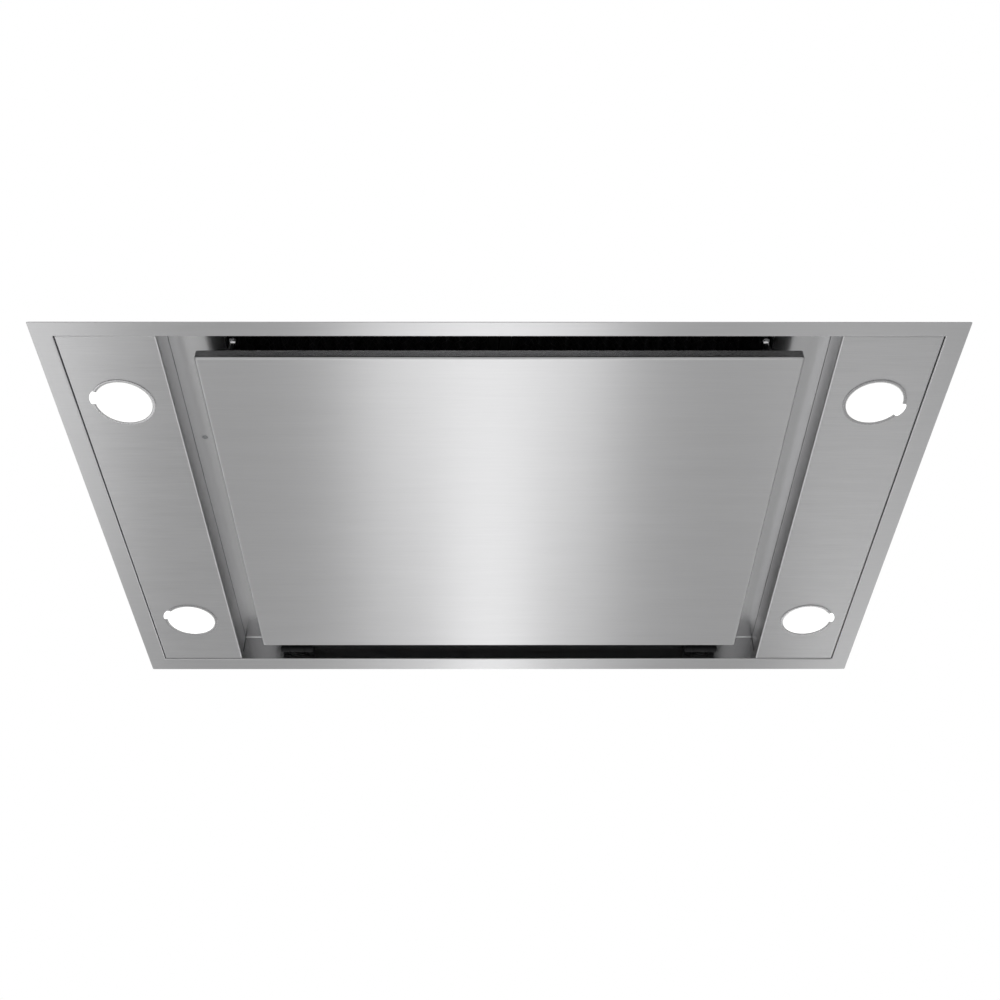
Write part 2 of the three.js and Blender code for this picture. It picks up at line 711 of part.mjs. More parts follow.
function makeScroll() {
  const mouth = fanThrow;
  const outer = scrollOutline(scrollWall, mouth);
  const height = scrollTop - scrollFloor;
  const hollow = raised(scrollOutline(0, mouth + 1), [scrollWall, height + 1]);
  const inlet = rod('z', bellRadius + bellSheet + fitGap, [-1, scrollWall + 1], [0, 0], wideSteps);
  const body = cut(raised(outer, [0, height]), hollow, inlet);
  addPiece(hood, 'scroll_body', body, blackPlastic).position.set(fanX, fanY, scrollFloor);
  const motorHole = rod('z', motorRadius + motorClear, [-1, scrollWall + 1], [0, 0], lampSteps);
  const cover = cut(raised(outer, [0, scrollWall]), motorHole);
  addPiece(hood, 'scroll_cover', cover, blackPlastic).position.set(fanX, fanY, scrollTop + fitGap);
}

function makeBellMouth() {
  const neck = bellRadius + bellSheet;
  const foot = neck + bellFoot;
  const bell = turnedRing([
    [bellRadius, 0], [foot, 0], [foot, bellHeight],
    [neck, bellHeight], [neck, bellTop], [bellRadius, bellTop],
  ], wideSteps);
  addPiece(hood, 'bell_mouth', bell, blackPlastic).position.set(fanX, fanY, casingHeight + fitGap);
}

function makeImpeller() {
  const ringInner = bellRadius + bellSheet + ringGap;
  const ring = cut(
    rod('z', impellerRadius, [0, ringSheet], [0, 0], wideSteps),
    rod('z', ringInner, [-1, ringSheet + 1], [0, 0], wideSteps),
  );
  const discFoot = impellerHeight - discSheet;
  const disc = rod('z', impellerRadius, [discFoot, impellerHeight], [0, 0], wideSteps);
  const hub = rod('z', hubRadius, [impellerHeight - hubLength, impellerHeight], [0, 0], finSteps);
  const inner = impellerRadius - bladeDepth;
  const outer = impellerRadius - bladeRoot;
  const pitch = 360 / bladeCount;
  const blades = Array.from({ length: bladeCount }, (_, i) => {
    const start = i * pitch;
    const edge = (radius, degrees) => arcPoints(radius, degrees, degrees, 1)[0];
    const thick = THREE.MathUtils.radToDeg(bladeSheet / impellerRadius);
    const middle = (inner + outer) / 2;
    return raised([
      edge(inner, start), edge(middle, start + bladeSweep * bladeBend), edge(outer, start + bladeSweep),
      edge(outer, start + bladeSweep + thick), edge(middle, start + bladeSweep * bladeBend + thick),
      edge(inner, start + thick),
    ], [ringSheet - bladeRoot, discFoot + bladeRoot]);
  });
  const bore = rod('z', shaftRadius + fitGap, [0, impellerHeight + 1], [0, 0]);
  const wheel = cut(join(ring, disc, hub, ...blades), bore);
  addPiece(hood, 'impeller', wheel, blackPlastic).position.set(fanX, fanY, impellerFoot);
}

function makeMotor() {
  const can = turned([
    [0, motorBore], [shaftRadius + fitGap, motorBore], [shaftRadius + fitGap, 0], [motorRadius, 0],
    [motorRadius, motorDrop], [motorFlange, motorDrop], [motorFlange, motorDrop + motorPlate],
    [motorRadius, motorDrop + motorPlate], [motorRadius, motorDrop + motorRise], [0, motorDrop + motorRise],
  ], lampSteps);
  addPiece(hood, 'motor', can, galvanised).position.set(fanX, fanY, motorFoot);
  const low = impellerFoot + impellerHeight - hubLength;
  const shaft = rod('z', shaftRadius, [low, motorFoot + motorBore - fitGap], [0, 0]);
  addPiece(hood, 'motor_shaft', shaft, polishedSteel).position.set(fanX, fanY, 0);
}

// ---- Fan box: walls with a foot flange and a round outlet hole, and a lid over them ----

function makeFanBox() {
  const faces = [[-boxX, boxX], [boxFront, boxRear]];
  const foot = casingHeight + fitGap;
  const walls = wallsRound(...faces, [foot, boxTop - fitGap], caseSheet);
  const flange = wallsRound(...faces, [foot, foot + caseSheet], boxFlange);
  const boreRadius = spigotDiameter / 2 - spigotWall;
  const hole = rod('y', boreRadius, [boxRear - 1, boxRear + caseSheet + 1], [0, outletZ], wideSteps);
  addPiece(hood, 'fan_box_walls', cut(join(walls, flange), hole), galvanised);

  const room = caseSheet + fitGap;
  const lipFaces = faces.map(([low, high]) => [low - room, high + room]);
  const lip = wallsRound(...lipFaces, [boxTop - coverLip, boxTop + caseSheet], caseSheet);
  const sheetFaces = lipFaces.map(([low, high]) => [low - coverBite, high + coverBite]);
  const sheet = block(...sheetFaces, [boxTop, boxTop + caseSheet]);
  addPiece(hood, 'fan_box_cover', join(lip, sheet), galvanised);
}

// ---- Outlet: a spigot for a round duct and two flaps that stop air falling back ----

function makeSpigot() {
  const radius = spigotDiameter / 2;
  const bore = radius - spigotWall;
  const halfX = radius + spigotFlange;
  const halfZ = radius + spigotWall;
  const plateY = [spigotStart, spigotStart + spigotWall];
  const plate = block([-halfX, halfX], plateY, [outletZ - halfZ, outletZ + halfZ]);
  const tube = rod('y', radius, [spigotStart, spigotStart + spigotLength], [0, outletZ], wideSteps);
  const hollow = rod('y', bore, [spigotStart - 1, spigotStart + spigotLength + 1], [0, outletZ], wideSteps);
  const pinEnd = radius + damperPinEnd;
  const pinHole = rod('z', damperPinRadius + fitGap, [outletZ - pinEnd, outletZ + pinEnd], [0, damperY]);
  addPiece(hood, 'outlet_spigot', cut(join(plate, tube), hollow, pinHole), galvanised);
  const pin = rod('z', damperPinRadius, [outletZ - pinEnd, outletZ + pinEnd], [0, damperY]);
  addPiece(hood, 'damper_pin', pin, polishedSteel);
}

// Each flap is half a disc, and hangs on the pin by its own sleeve, above or below the middle.
function makeFlaps() {
  const radius = spigotDiameter / 2 - spigotWall - damperGap;
  const half = damperSheet / 2;
  const clear = damperSleeve + fitGap;
  const pinHole = rod('z', damperPinRadius + fitGap, [-radius - 1, radius + 1], [0, 0]);
  for (const [side, sign] of sides) {
    const span = sign * damperSleeveLength;
    const sleeveZ = [Math.min(0, span) + fitGap, Math.max(0, span) - fitGap];
    const disc = rod('y', radius, [-half, half], [0, 0], wideSteps);
    const otherHalf = sign > 0 ? [-radius - 1, clear] : [-clear, radius + 1];
    const leaf = cut(disc, block(otherHalf, [-2, 2], [-radius - 1, radius + 1]));
    const webX = sign > 0 ? [0, clear + 1] : [-clear - 1, 0];
    const web = block(webX, [-half, half], sleeveZ);
    const solid = cut(join(leaf, web, rod('z', damperSleeve, sleeveZ, [0, 0])), pinHole);
    addPiece(hood, `damper_flap_${side}`, solid, blackPlastic).position.set(0, damperY, outletZ);
  }
}

// ---- Controls: a box on the casing with the board, the mains terminals and the cable gland ----

function makeControlBox(box, inner, boardZ, glandZ) {
  const halfX = controlWidth / 2;
  const halfY = controlLength / 2;
  const tray = cut(
    block([-halfX, halfX], [-halfY, halfY], [0, controlHeight]),
    block(...inner.map((half) => [-half, half]), [controlWall, controlHeight + 1]),
  );
  const [postX, postY] = inner.map((half) => half - postInset);
  const posts = sides.flatMap(([, across]) => ends.map(([, along]) =>
    rod('z', postRadius, [controlWall / 2, boardZ], [across * postX, along * postY])));
  const wallY = [-halfY - 1, -halfY + controlWall + 1];
  const glandHole = rod('y', glandRadius + fitGap, wallY, [0, glandZ], lampSteps);
  addPiece(box, 'control_box', cut(join(tray, ...posts), glandHole), greyPlastic);
  const lid = block([-halfX, halfX], [-halfY, halfY], [0, controlWall]);
  const rim = block(...inner.map((half) => [lidRimGap - half, half - lidRimGap]), [-lidRim, controlWall / 2]);
  addPiece(box, 'control_lid', join(lid, rim), greyPlastic).position.z = controlHeight + fitGap;
}

function makeControlBoard(box, [innerX, innerY], boardZ) {
  const halfX = innerX - boardGap;
  const halfY = innerY - boardEndGap;
  const board = block([-halfX, halfX], [-halfY, halfY], [0, boardSheet]);
  const relayX = [-halfX + partInset, -halfX + partInset + relayWidth];
  const relay = block(relayX, [0, relayLength], [boardSheet / 2, boardSheet + relayHeight]);
  const coilX = [halfX - partInset - coilWidth, halfX - partInset];
  const coilY = [halfY - partInset - coilLength, halfY - partInset];
  const coil = block(coilX, coilY, [boardSheet / 2, boardSheet + coilHeight]);
  addPiece(box, 'control_board', join(board, relay, coil), boardGreen).position.z = boardZ + fitGap;

  const pitch = terminalLength / terminalWays;
  const edge = -terminalWidth / 2;
  const slots = Array.from({ length: terminalWays }, (_, i) => {
    const middle = -terminalLength / 2 + (i + 0.5) * pitch;
    const slotY = [middle - terminalMouth / 2, middle + terminalMouth / 2];
    return block([edge - 1, edge + terminalSlot], slotY, [terminalSill, terminalSill + terminalRise]);
  });
  const body = block([edge, -edge], [-terminalLength / 2, terminalLength / 2], [0, terminalHeight]);
  const terminals = addPiece(box, 'terminal_block', cut(body, ...slots), greyPlastic);
  const terminalX = innerX - terminalInset - terminalWidth / 2;
  const terminalY = terminalSetback + terminalLength / 2 - controlLength / 2;
  terminals.position.set(terminalX, terminalY, boardZ + 2 * fitGap + boardSheet);
}

function makeControls() {
  const box = new THREE.Group();
  box.position.set(boxX + boxFlange + controlGap + controlWidth / 2, 0, casingHeight + fitGap);
  const inner = [controlWidth, controlLength].map((size) => size / 2 - controlWall);
  const boardZ = controlWall + controlPost;
  const glandZ = glandRise - fitGap;
  makeControlBox(box, inner, boardZ, glandZ);
  makeControlBoard(box, inner, boardZ);
  const wall = -controlLength / 2;
  const reach = [wall - glandNose, wall + controlWall + glandTail];
  const gland = cut(
    join(
      rod('y', glandRadius, reach, [0, glandZ], lampSteps),
      rod('y', glandNut, [wall - glandNutDepth, wall - fitGap], [0, glandZ], 6),
    ),
    rod('y', glandBore, [reach[0] - 1, reach[1] + 1], [0, glandZ]),
  );
  addPiece(box, 'cable_gland', gland, blackPlastic);
  hood.add(box);
}

// ---- Lamp driver: hangs under the casing top, over the left lamps ----

function makeLampDriver() {
  const halfY = driverLength / 2;
  const body = block([-driverWidth / 2, driverWidth / 2], [-halfY, halfY], [-driverHeight, 0]);
  const tabY = [-halfY - driverTab, halfY + driverTab];
  const tabs = block([-driverWidth / 4, driverWidth / 4], tabY, [-driverTabSheet, 0]);
  const driver = addPiece(hood, 'lamp_driver', join(body, tabs), greyPlastic);
  driver.position.set(-recessX - lampInsetSide, 0, casingUnder - fitGap);
}

makeRimFrame();
makeLampPanels();
makeLamps();
makeInletTray();
makeSensor();
makeCasing();
makeHangers();
makeFilters();
makeCentrePanel();
makeCatches();
makeHinges();
makeScroll();
makeBellMouth();
makeImpeller();
makeMotor();
makeFanBox();
makeSpigot();
makeFlaps();
makeControls();
makeLampDriver();

export default hood;
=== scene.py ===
# A flush ceiling range hood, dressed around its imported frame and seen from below.
import json
import math

import bpy
import bmesh
import numpy as np
from mathutils import Matrix, Vector


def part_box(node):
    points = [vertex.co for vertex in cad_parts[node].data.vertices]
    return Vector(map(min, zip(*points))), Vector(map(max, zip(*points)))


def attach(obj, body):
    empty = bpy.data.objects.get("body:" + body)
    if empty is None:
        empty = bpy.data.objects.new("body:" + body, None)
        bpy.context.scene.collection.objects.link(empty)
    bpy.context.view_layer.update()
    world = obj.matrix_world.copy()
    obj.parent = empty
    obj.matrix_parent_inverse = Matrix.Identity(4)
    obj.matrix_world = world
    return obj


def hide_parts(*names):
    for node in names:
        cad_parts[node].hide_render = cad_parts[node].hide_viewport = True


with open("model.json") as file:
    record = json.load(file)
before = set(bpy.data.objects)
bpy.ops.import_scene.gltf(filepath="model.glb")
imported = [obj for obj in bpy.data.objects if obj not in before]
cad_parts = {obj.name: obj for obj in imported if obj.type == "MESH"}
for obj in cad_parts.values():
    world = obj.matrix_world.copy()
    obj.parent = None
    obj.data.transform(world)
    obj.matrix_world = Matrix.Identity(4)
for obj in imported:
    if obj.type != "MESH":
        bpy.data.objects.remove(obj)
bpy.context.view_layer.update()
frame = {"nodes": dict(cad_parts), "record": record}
nodes = frame["nodes"]
scene = bpy.context.scene
mm = 0.001
sideNames = ("left", "right")
quarters = [(end, side, sign) for end in ("front", "rear") for side, sign in zip(sideNames, (-1, 1))]
print("frame:", len(nodes), "nodes")


def addObject(name, data):
    piece = bpy.data.objects.new(name, data)
    scene.collection.objects.link(piece)
    return piece


def boxOf(node):
    # the low and high corners of a node's box, in millimetres
    low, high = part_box(node)
    return low / mm, high / mm


def around(node):
    # the sides of a node's box in millimetres: x from and to, y from and to
    low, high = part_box(node)
    return np.array((low.x, high.x, low.y, high.y)) / mm


def centreOf(node):
    low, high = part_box(node)
    return (low + high) / 2 / mm


# camera

cameraView = {
    "place": (-2.39 * mm, -1128.43 * mm, -927.52 * mm),
    "elevation": 40.427,  # degrees, looking up towards the rear
    "yaw": -0.17,
    "roll": -0.11,
    "lens": 46.698,
    "sensor": 36,
    "clip": (0.05, 60),
}


def addCamera(view):
    # the camera's axes come from its elevation, then turn about Z and about its own line of sight
    tilt = math.radians(view["elevation"])
    turn = Matrix.Rotation(math.radians(view["yaw"]), 3, "Z")
    right = turn @ Vector((1, 0, 0))
    ahead = turn @ Vector((0, math.cos(tilt), math.sin(tilt)))
    up = turn @ Vector((0, -math.sin(tilt), math.cos(tilt)))
    roll = Matrix.Rotation(math.radians(view["roll"]), 3, ahead).transposed()
    data = bpy.data.cameras.new("camera")
    data.lens = view["lens"]
    data.sensor_width = view["sensor"]
    data.clip_start, data.clip_end = view["clip"]
    camera = addObject("camera", data)
    axes = Matrix((roll @ right, roll @ up, -ahead)).transposed()
    camera.matrix_world = Matrix.Translation(view["place"]) @ axes.to_4x4()
    scene.camera = camera


addCamera(cameraView)

# node trees


def clearNodes(owner):
    owner.use_nodes = True
    owner.node_tree.nodes.clear()
    return owner.node_tree


def feed(tree, step, inputs):
    # each input is a value, or the socket that feeds it
    for label, value in inputs.items():
        if isinstance(value, bpy.types.NodeSocket):
            tree.links.new(value, step.inputs[label])
        else:
            step.inputs[label].default_value = value


def addNode(tree, kind, inputs, **choices):
    step = tree.nodes.new("ShaderNode" + kind)
    for label, value in choices.items():
        setattr(step, label, value)
    feed(tree, step, inputs)
    return step


def addMath(tree, operation, first, second):
    return addNode(tree, "Math", {0: first, 1: second}, operation=operation).outputs[0]


def addRange(tree, value, low, high):
    # 0 to 1 becomes low to high
    return addNode(tree, "MapRange", {"Value": value, "To Min": low, "To Max": high}).outputs[0]


# stage and light

studio = {
    "ambient": 0.62,  # what the white world gives to matt surfaces
    "floorLevel": -2.1,
    "floorSize": 16.0,
    "floorColour": (0.73, 0.73, 0.73, 1),
    "ceilingSize": 12.0,
    "ceilingLap": 4 * mm,  # how far the frame's rim laps the ceiling
    "ceilingRise": 2 * mm,
}
# place, aim, width, length and brightness, where 1 is white seen in a mirror
softLights = {
    "key": ((1.6, -1.4, 3.2), (0, 0, 0.1), 2.2, 2.2, 2.6),
    "fill": ((-2.6, -0.6, 1.8), (0, 0, 0.1), 1.6, 1.6, 1.2),
    "bandNear": ((-0.045, 1.15, -2.0), (-0.045, 1.15, 0), 0.76, 1.9, 1.16),
    "bandFar": ((-0.035, 3.6, -2.0), (-0.035, 3.6, 0), 0.32, 2.6, 1.5),
    "nearLeft": ((-1.75, 1.45, -1.98), (-1.75, 1.45, 0), 1.14, 1.2, 1.45),
    "farRight": ((1.92, 4.5, -1.98), (1.92, 4.5, 0), 1.0, 1.4, 3.3),
    "front": ((-0.45, -0.6, -2.0), (-0.45, -0.6, 0), 2.5, 0.6, 0.9),
}


def lightWorld(levels):
    # white where the camera, a mirror or glass sees it, and darker as light on matt surfaces
    scene.world = bpy.data.worlds.new("studio")
    tree = clearNodes(scene.world)
    ray = addNode(tree, "LightPath", {}).outputs
    seen = addMath(tree, "MAXIMUM", ray["Is Camera Ray"], ray["Is Glossy Ray"])
    seen = addMath(tree, "MAXIMUM", seen, ray["Is Transmission Ray"])
    strength = addRange(tree, seen, levels["ambient"], 1.0)
    background = addNode(tree, "Background", {"Color": (1, 1, 1, 1), "Strength": strength})
    addNode(tree, "OutputWorld", {"Surface": background.outputs[0]})


def squareRing(low, high, z):
    return [(low[0], low[1], z), (high[0], low[1], z), (high[0], high[1], z), (low[0], high[1], z)]


def addFlat(name, points, faces):
    # a flat mesh with a material of its own, and that material's empty node tree
    data = bpy.data.meshes.new(name)
    data.from_pydata(points, [], faces)
    paint = bpy.data.materials.new(name)
    data.materials.append(paint)
    return addObject(name, data), clearNodes(paint)


def addFloor(levels):
    half = levels["floorSize"] / 2
    ring = squareRing((-half, -half), (half, half), levels["floorLevel"])
    floor, tree = addFlat("studioFloor", ring, [(0, 1, 2, 3)])
    shader = addNode(tree, "BsdfDiffuse", {"Color": levels["floorColour"]})
    addNode(tree, "OutputMaterial", {"Surface": shader.outputs[0]})


def addCeiling(levels):
    # a white ceiling round the frame. It is seen only from below, so the casing shows from above
    low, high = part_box("rim_frame")
    lap, half = levels["ceilingLap"], levels["ceilingSize"] / 2
    z = low.z + levels["ceilingRise"]
    outer = squareRing((-half, -half), (half, half), z)
    inner = squareRing((low.x + lap, low.y + lap), (high.x - lap, high.y - lap), z)
    faces = [(i, i + 4, (i + 1) % 4 + 4, (i + 1) % 4) for i in range(4)]
    ceiling, tree = addFlat("studioCeiling", outer + inner, faces)
    for ray in ("diffuse", "glossy", "transmission", "shadow"):
        setattr(ceiling, "visible_" + ray, False)
    above = addNode(tree, "NewGeometry", {}).outputs["Backfacing"]
    white, clear = addNode(tree, "Emission", {}), addNode(tree, "BsdfTransparent", {})
    either = addNode(tree, "MixShader", {0: above, 1: white.outputs[0], 2: clear.outputs[0]})
    addNode(tree, "OutputMaterial", {"Surface": either.outputs[0]})


def addSoftLight(name, place, aim, width, length, brightness):
    data = bpy.data.lights.new(name, "AREA")
    data.shape = "RECTANGLE"
    data.size, data.size_y = width, length
    data.energy = 4 * width * length * brightness
    light = addObject(name, data)
    light.location = place
    light.rotation_euler = (Vector(aim) - Vector(place)).to_track_quat("-Z", "Y").to_euler()
    light.visible_camera = False


lightWorld(studio)
addFloor(studio)
addCeiling(studio)
for name, light in softLights.items():
    addSoftLight(name, *light)
scene.view_settings.view_transform = "Standard"
print("stage and light: ready")

# shared shader effects


def newGroup(name, inputs):
    # a node group with named inputs and their defaults, and the sockets that they arrive at
    group = bpy.data.node_groups.new(name, "ShaderNodeTree")
    for label, value in inputs.items():
        kind = "NodeSocketFloat" if isinstance(value, float) else "NodeSocketVector"
        group.interface.new_socket(name=label, in_out="INPUT", socket_type=kind).default_value = value
    return group, group.nodes.new("NodeGroupInput").outputs


def endGroup(group, results):
    for label in results:
        group.interface.new_socket(name=label, in_out="OUTPUT", socket_type="NodeSocketFloat")
    end = group.nodes.new("NodeGroupOutput")
    for label, value in results.items():
        group.links.new(value, end.inputs[label])
    return group


def addNoise(tree, vector, scale, detail, roughness=0.5):
    inputs = {"Vector": vector, "Scale": scale, "Detail": detail, "Roughness": roughness}
    return addNode(tree, "TexNoise", inputs).outputs["Fac"]


# share of the stretch, scale, detail and weight of the long, middle and short scratches
scratchLengths = ((1.0, 22.0, 4.0, 0.5), (0.35, 9.0, 3.0, 0.3), (0.12, 5.0, 2.0, 0.2))


def makeBrushGroup():
    # fine parallel scratches: the weighted sum of three noises squeezed across the grain.
    # The grain runs along X, and where a fold turns a face towards X it runs up it along Z
    group, given = newGroup("brushedGrain", {"Vector": (0, 0, 0), "Facing": (0, 0, 1), "Grain Stretch": 60.0})
    straight = addNode(group, "SeparateXYZ", {0: given["Vector"]}).outputs
    swapped = addNode(group, "CombineXYZ", {"X": straight["Z"], "Y": straight["Y"], "Z": straight["X"]})
    facing = addNode(group, "SeparateXYZ", {0: given["Facing"]}).outputs
    turned = addMath(group, "GREATER_THAN", addMath(group, "ABSOLUTE", facing["X"], 0), 0.7)
    choice = addNode(group, "Mix", {0: turned, 4: given["Vector"], 5: swapped.outputs[0]}, data_type="VECTOR")
    along = addNode(group, "SeparateXYZ", {0: choice.outputs[1]}).outputs
    lines = []
    for share, scale, detail, weight in scratchLengths:
        across = addMath(group, "MULTIPLY", given["Grain Stretch"], share)
        squeezed = {axis: addMath(group, "MULTIPLY", along[axis], across) for axis in "YZ"}
        vector = addNode(group, "CombineXYZ", {"X": along["X"], **squeezed}).outputs[0]
        lines.append(addMath(group, "MULTIPLY", addNoise(group, vector, scale, detail, 0.6), weight))
    scratches = addMath(group, "ADD", addMath(group, "ADD", lines[0], lines[1]), lines[2])
    return endGroup(group, {"Scratches": scratches})


def makeGritGroup():
    # a fine even texture with slow patches, for mouldings, coatings and castings
    group, given = newGroup("fineGrit", {"Vector": (0, 0, 0)})
    grit = addNoise(group, given["Vector"], 900.0, 2.0)
    return endGroup(group, {"Grit": grit, "Patches": addNoise(group, given["Vector"], 14.0, 4.0)})


def makeSpangleGroup():
    # zinc crystals: cells of a few millimetres whose edges wander, each with its own tone
    group, given = newGroup("zincSpangle", {"Vector": (0, 0, 0), "Cells per Metre": 110.0})
    drift = addNode(group, "TexNoise", {"Vector": given["Vector"], "Scale": 40.0}).outputs["Color"]
    bend = addNode(group, "VectorMath", {0: drift, 1: (0.008, 0.008, 0.008), 2: given["Vector"]},
                   operation="MULTIPLY_ADD")
    warped = {"Vector": bend.outputs[0], "Scale": given["Cells per Metre"]}
    cells = addNode(group, "TexVoronoi", warped).outputs
    tone = addNode(group, "SeparateColor", {0: cells["Color"]})
    return endGroup(group, {"Tone": tone.outputs[0], "Height": cells["Distance"]})


brushedGrain = makeBrushGroup()
fineGrit = makeGritGroup()
zincSpangle = makeSpangleGroup()

# materials


def mixColour(tree, factor, first, second):
    return addNode(tree, "Mix", {0: factor, 6: (*first, 1), 7: (*second, 1)}, data_type="RGBA").outputs[2]


def addBump(tree, height, strength, distance):
    return addNode(tree, "Bump", {"Strength": strength, "Distance": distance, "Height": height}).outputs[0]


def startMaterial(name, settings):
    material = bpy.data.materials.new(name)
    tree = clearNodes(material)
    shader = addNode(tree, "BsdfPrincipled", settings)
    addNode(tree, "OutputMaterial", {"Surface": shader.outputs[0]})
    return material, tree, shader, addNode(tree, "TexCoord", {}).outputs


stainlessLook = {
    "dark": (0.47, 0.47, 0.475),
    "light": (0.60, 0.60, 0.605),
    "roughness": (0.27, 0.40),
    "anisotropy": 0.92,
    "grainStretch": 70.0,
    "bump": 0.12,
}
# the lamp panels show their grain more
trayLook = {**stainlessLook, "dark": (0.42, 0.42, 0.425), "light": (0.64, 0.64, 0.645), "grainStretch": 40.0}
# and their tall upright sides are a lighter copy of the same steel: painted light
litSideLook = {**trayLook, "dark": (0.62, 0.62, 0.625), "light": (0.76, 0.76, 0.765)}
# the frame's folds are bare sheet, which mirrors far more sharply than the brushed faces
sheetLook = {
    "dark": (0.50, 0.50, 0.505),
    "light": (0.57, 0.57, 0.575),
    "roughness": (0.20, 0.27),
    "anisotropy": 0.3,
    "grainStretch": 30.0,
    "bump": 0.02,
}
# the inlet's tray is the same sheet, with dull upright walls
inletLook = {**sheetLook, "wallMetal": 0.25, "wallRoughness": 0.5}
# the centre panel's upright edge is a darker copy of the sheet: painted shade
shadedEdgeLook = {
    "dark": (0.28, 0.28, 0.283),
    "light": (0.32, 0.32, 0.323),
    "roughness": (0.20, 0.26),
    "anisotropy": 0.3,
    "grainStretch": 40.0,
    "bump": 0.01,
}
grainLine = (1, 0, 0.001)  # along X, and just off it so that a face across X has a direction too


def makeStainless(name, look):
    # the grain runs along X, so reflections smear across it, along the cross product of normal and grain
    material, tree, shader, where = startMaterial(name, {"Metallic": 1.0, "Anisotropic": look["anisotropy"]})
    given = {"Vector": where["Object"], "Facing": where["Normal"], "Grain Stretch": look["grainStretch"]}
    scratches = addNode(tree, "Group", given, node_tree=brushedGrain).outputs["Scratches"]
    roughness = addRange(tree, scratches, *look["roughness"])
    if "wallMetal" in look:
        rise = addNode(tree, "SeparateXYZ", {0: where["Normal"]}).outputs["Z"]
        upright = addMath(tree, "LESS_THAN", addMath(tree, "ABSOLUTE", rise, 0), 0.5)
        roughness = addRange(tree, upright, roughness, look["wallRoughness"])
        feed(tree, shader, {"Metallic": addRange(tree, upright, 1.0, look["wallMetal"])})
    grain = addNode(tree, "VectorTransform", {0: grainLine},
                    vector_type="VECTOR", convert_from="OBJECT", convert_to="WORLD").outputs[0]
    normal = addNode(tree, "NewGeometry", {}).outputs["Normal"]
    smear = addNode(tree, "VectorMath", {0: normal, 1: grain}, operation="CROSS_PRODUCT")
    feed(tree, shader, {
        "Base Color": mixColour(tree, scratches, look["dark"], look["light"]),
        "Roughness": roughness,
        "Tangent": smear.outputs[0],
        "Normal": addBump(tree, scratches, look["bump"], 0.4 * mm),
    })
    return material


# dark and light tone, roughness from and to, bump, and the shader's fixed values
grittyLooks = {
    "polishedSteel": ((0.80, 0.80, 0.81), (0.88, 0.88, 0.89), (0.04, 0.10), 0.02, {"Metallic": 1.0}),
    "satinSteel": ((0.42, 0.42, 0.425), (0.50, 0.50, 0.505), (0.22, 0.32), 0.02, {"Metallic": 1.0}),
    "aluminium": ((0.60, 0.61, 0.62), (0.70, 0.71, 0.72), (0.34, 0.50), 0.2, {"Metallic": 1.0}),
    # the next three looks are on the filters, the hinges, the studs and the catch deep in the recess. They
    # are near black partly as black coatings and partly as painted shade
    "blackAluminium": ((0.018, 0.018, 0.019), (0.035, 0.035, 0.036), (0.5, 0.7), 0.3, {"Metallic": 0.3}),
    "shadowMeshAluminium": ((0.05, 0.05, 0.052), (0.09, 0.09, 0.092), (0.28, 0.42), 0.1, {"Metallic": 0.7}),
    "blackShadowSteel": ((0.008, 0.008, 0.009), (0.014, 0.014, 0.015), (0.5, 0.65), 0.2,
                       {"Specular IOR Level": 0.12}),
    # the dark steel on the panel's back is partly a black coating and partly painted shade
    "darkSteel": ((0.035, 0.035, 0.038), (0.06, 0.06, 0.064), (0.35, 0.5), 0.2, {"Metallic": 0.2}),
    "blackPlastic": ((0.022, 0.022, 0.024), (0.034, 0.034, 0.036), (0.45, 0.6), 0.4, {}),
    "greyPlastic": ((0.29, 0.30, 0.31), (0.34, 0.35, 0.36), (0.42, 0.55), 0.4, {}),
    "boardGreen": ((0.018, 0.12, 0.055), (0.03, 0.17, 0.08), (0.3, 0.45), 0.1, {}),
}


def makeGritty(name, dark, light, roughness, bump, settings):
    material, tree, shader, where = startMaterial(name, settings)
    grit = addNode(tree, "Group", {"Vector": where["Object"]}, node_tree=fineGrit).outputs
    feed(tree, shader, {
        "Base Color": mixColour(tree, grit["Patches"], dark, light),
        "Roughness": addRange(tree, grit["Grit"], *roughness),
        "Normal": addBump(tree, grit["Grit"], bump, 0.3 * mm),
    })
    return material


zincLook = {
    "dark": (0.49, 0.505, 0.515), "light": (0.58, 0.595, 0.605), "roughness": (0.36, 0.48),
    "cells": 170.0, "bump": 0.06,
}


def makeGalvanised(name, look):
    material, tree, shader, where = startMaterial(name, {"Metallic": 0.9})
    given = {"Vector": where["Object"], "Cells per Metre": look["cells"]}
    zinc = addNode(tree, "Group", given, node_tree=zincSpangle).outputs
    feed(tree, shader, {
        "Base Color": mixColour(tree, zinc["Tone"], look["dark"], look["light"]),
        "Roughness": addRange(tree, zinc["Tone"], *look["roughness"]),
        "Normal": addBump(tree, zinc["Height"], look["bump"], 0.5 * mm),
    })
    return material


glowLook = {
    "dark": (0.90, 0.90, 0.89), "light": (0.95, 0.95, 0.94), "roughness": 0.42, "bump": 0.2,
    "middle": (1.0, 1.0, 1.0), "edge": (0.15, 0.15, 0.15), "fallsFrom": 0.88,  # of the lens's radius
}


def makeLampGlow(name, look):
    # a frosted diffuser: a fine stipple over a glow that falls off near its edge
    settings = {"Roughness": look["roughness"], "Emission Strength": 1.0}
    material, tree, shader, where = startMaterial(name, settings)
    grit = addNode(tree, "Group", {"Vector": where["Object"]}, node_tree=fineGrit).outputs["Grit"]
    reach = addNode(tree, "Attribute", {}, attribute_name="reach").outputs["Fac"]
    fall = addNode(tree, "MapRange", {"Value": reach, "From Min": look["fallsFrom"]},
                   interpolation_type="SMOOTHSTEP").outputs[0]
    feed(tree, shader, {
        "Base Color": mixColour(tree, grit, look["dark"], look["light"]),
        "Emission Color": mixColour(tree, fall, look["middle"], look["edge"]),
        "Normal": addBump(tree, grit, look["bump"], 0.2 * mm),
    })
    return material


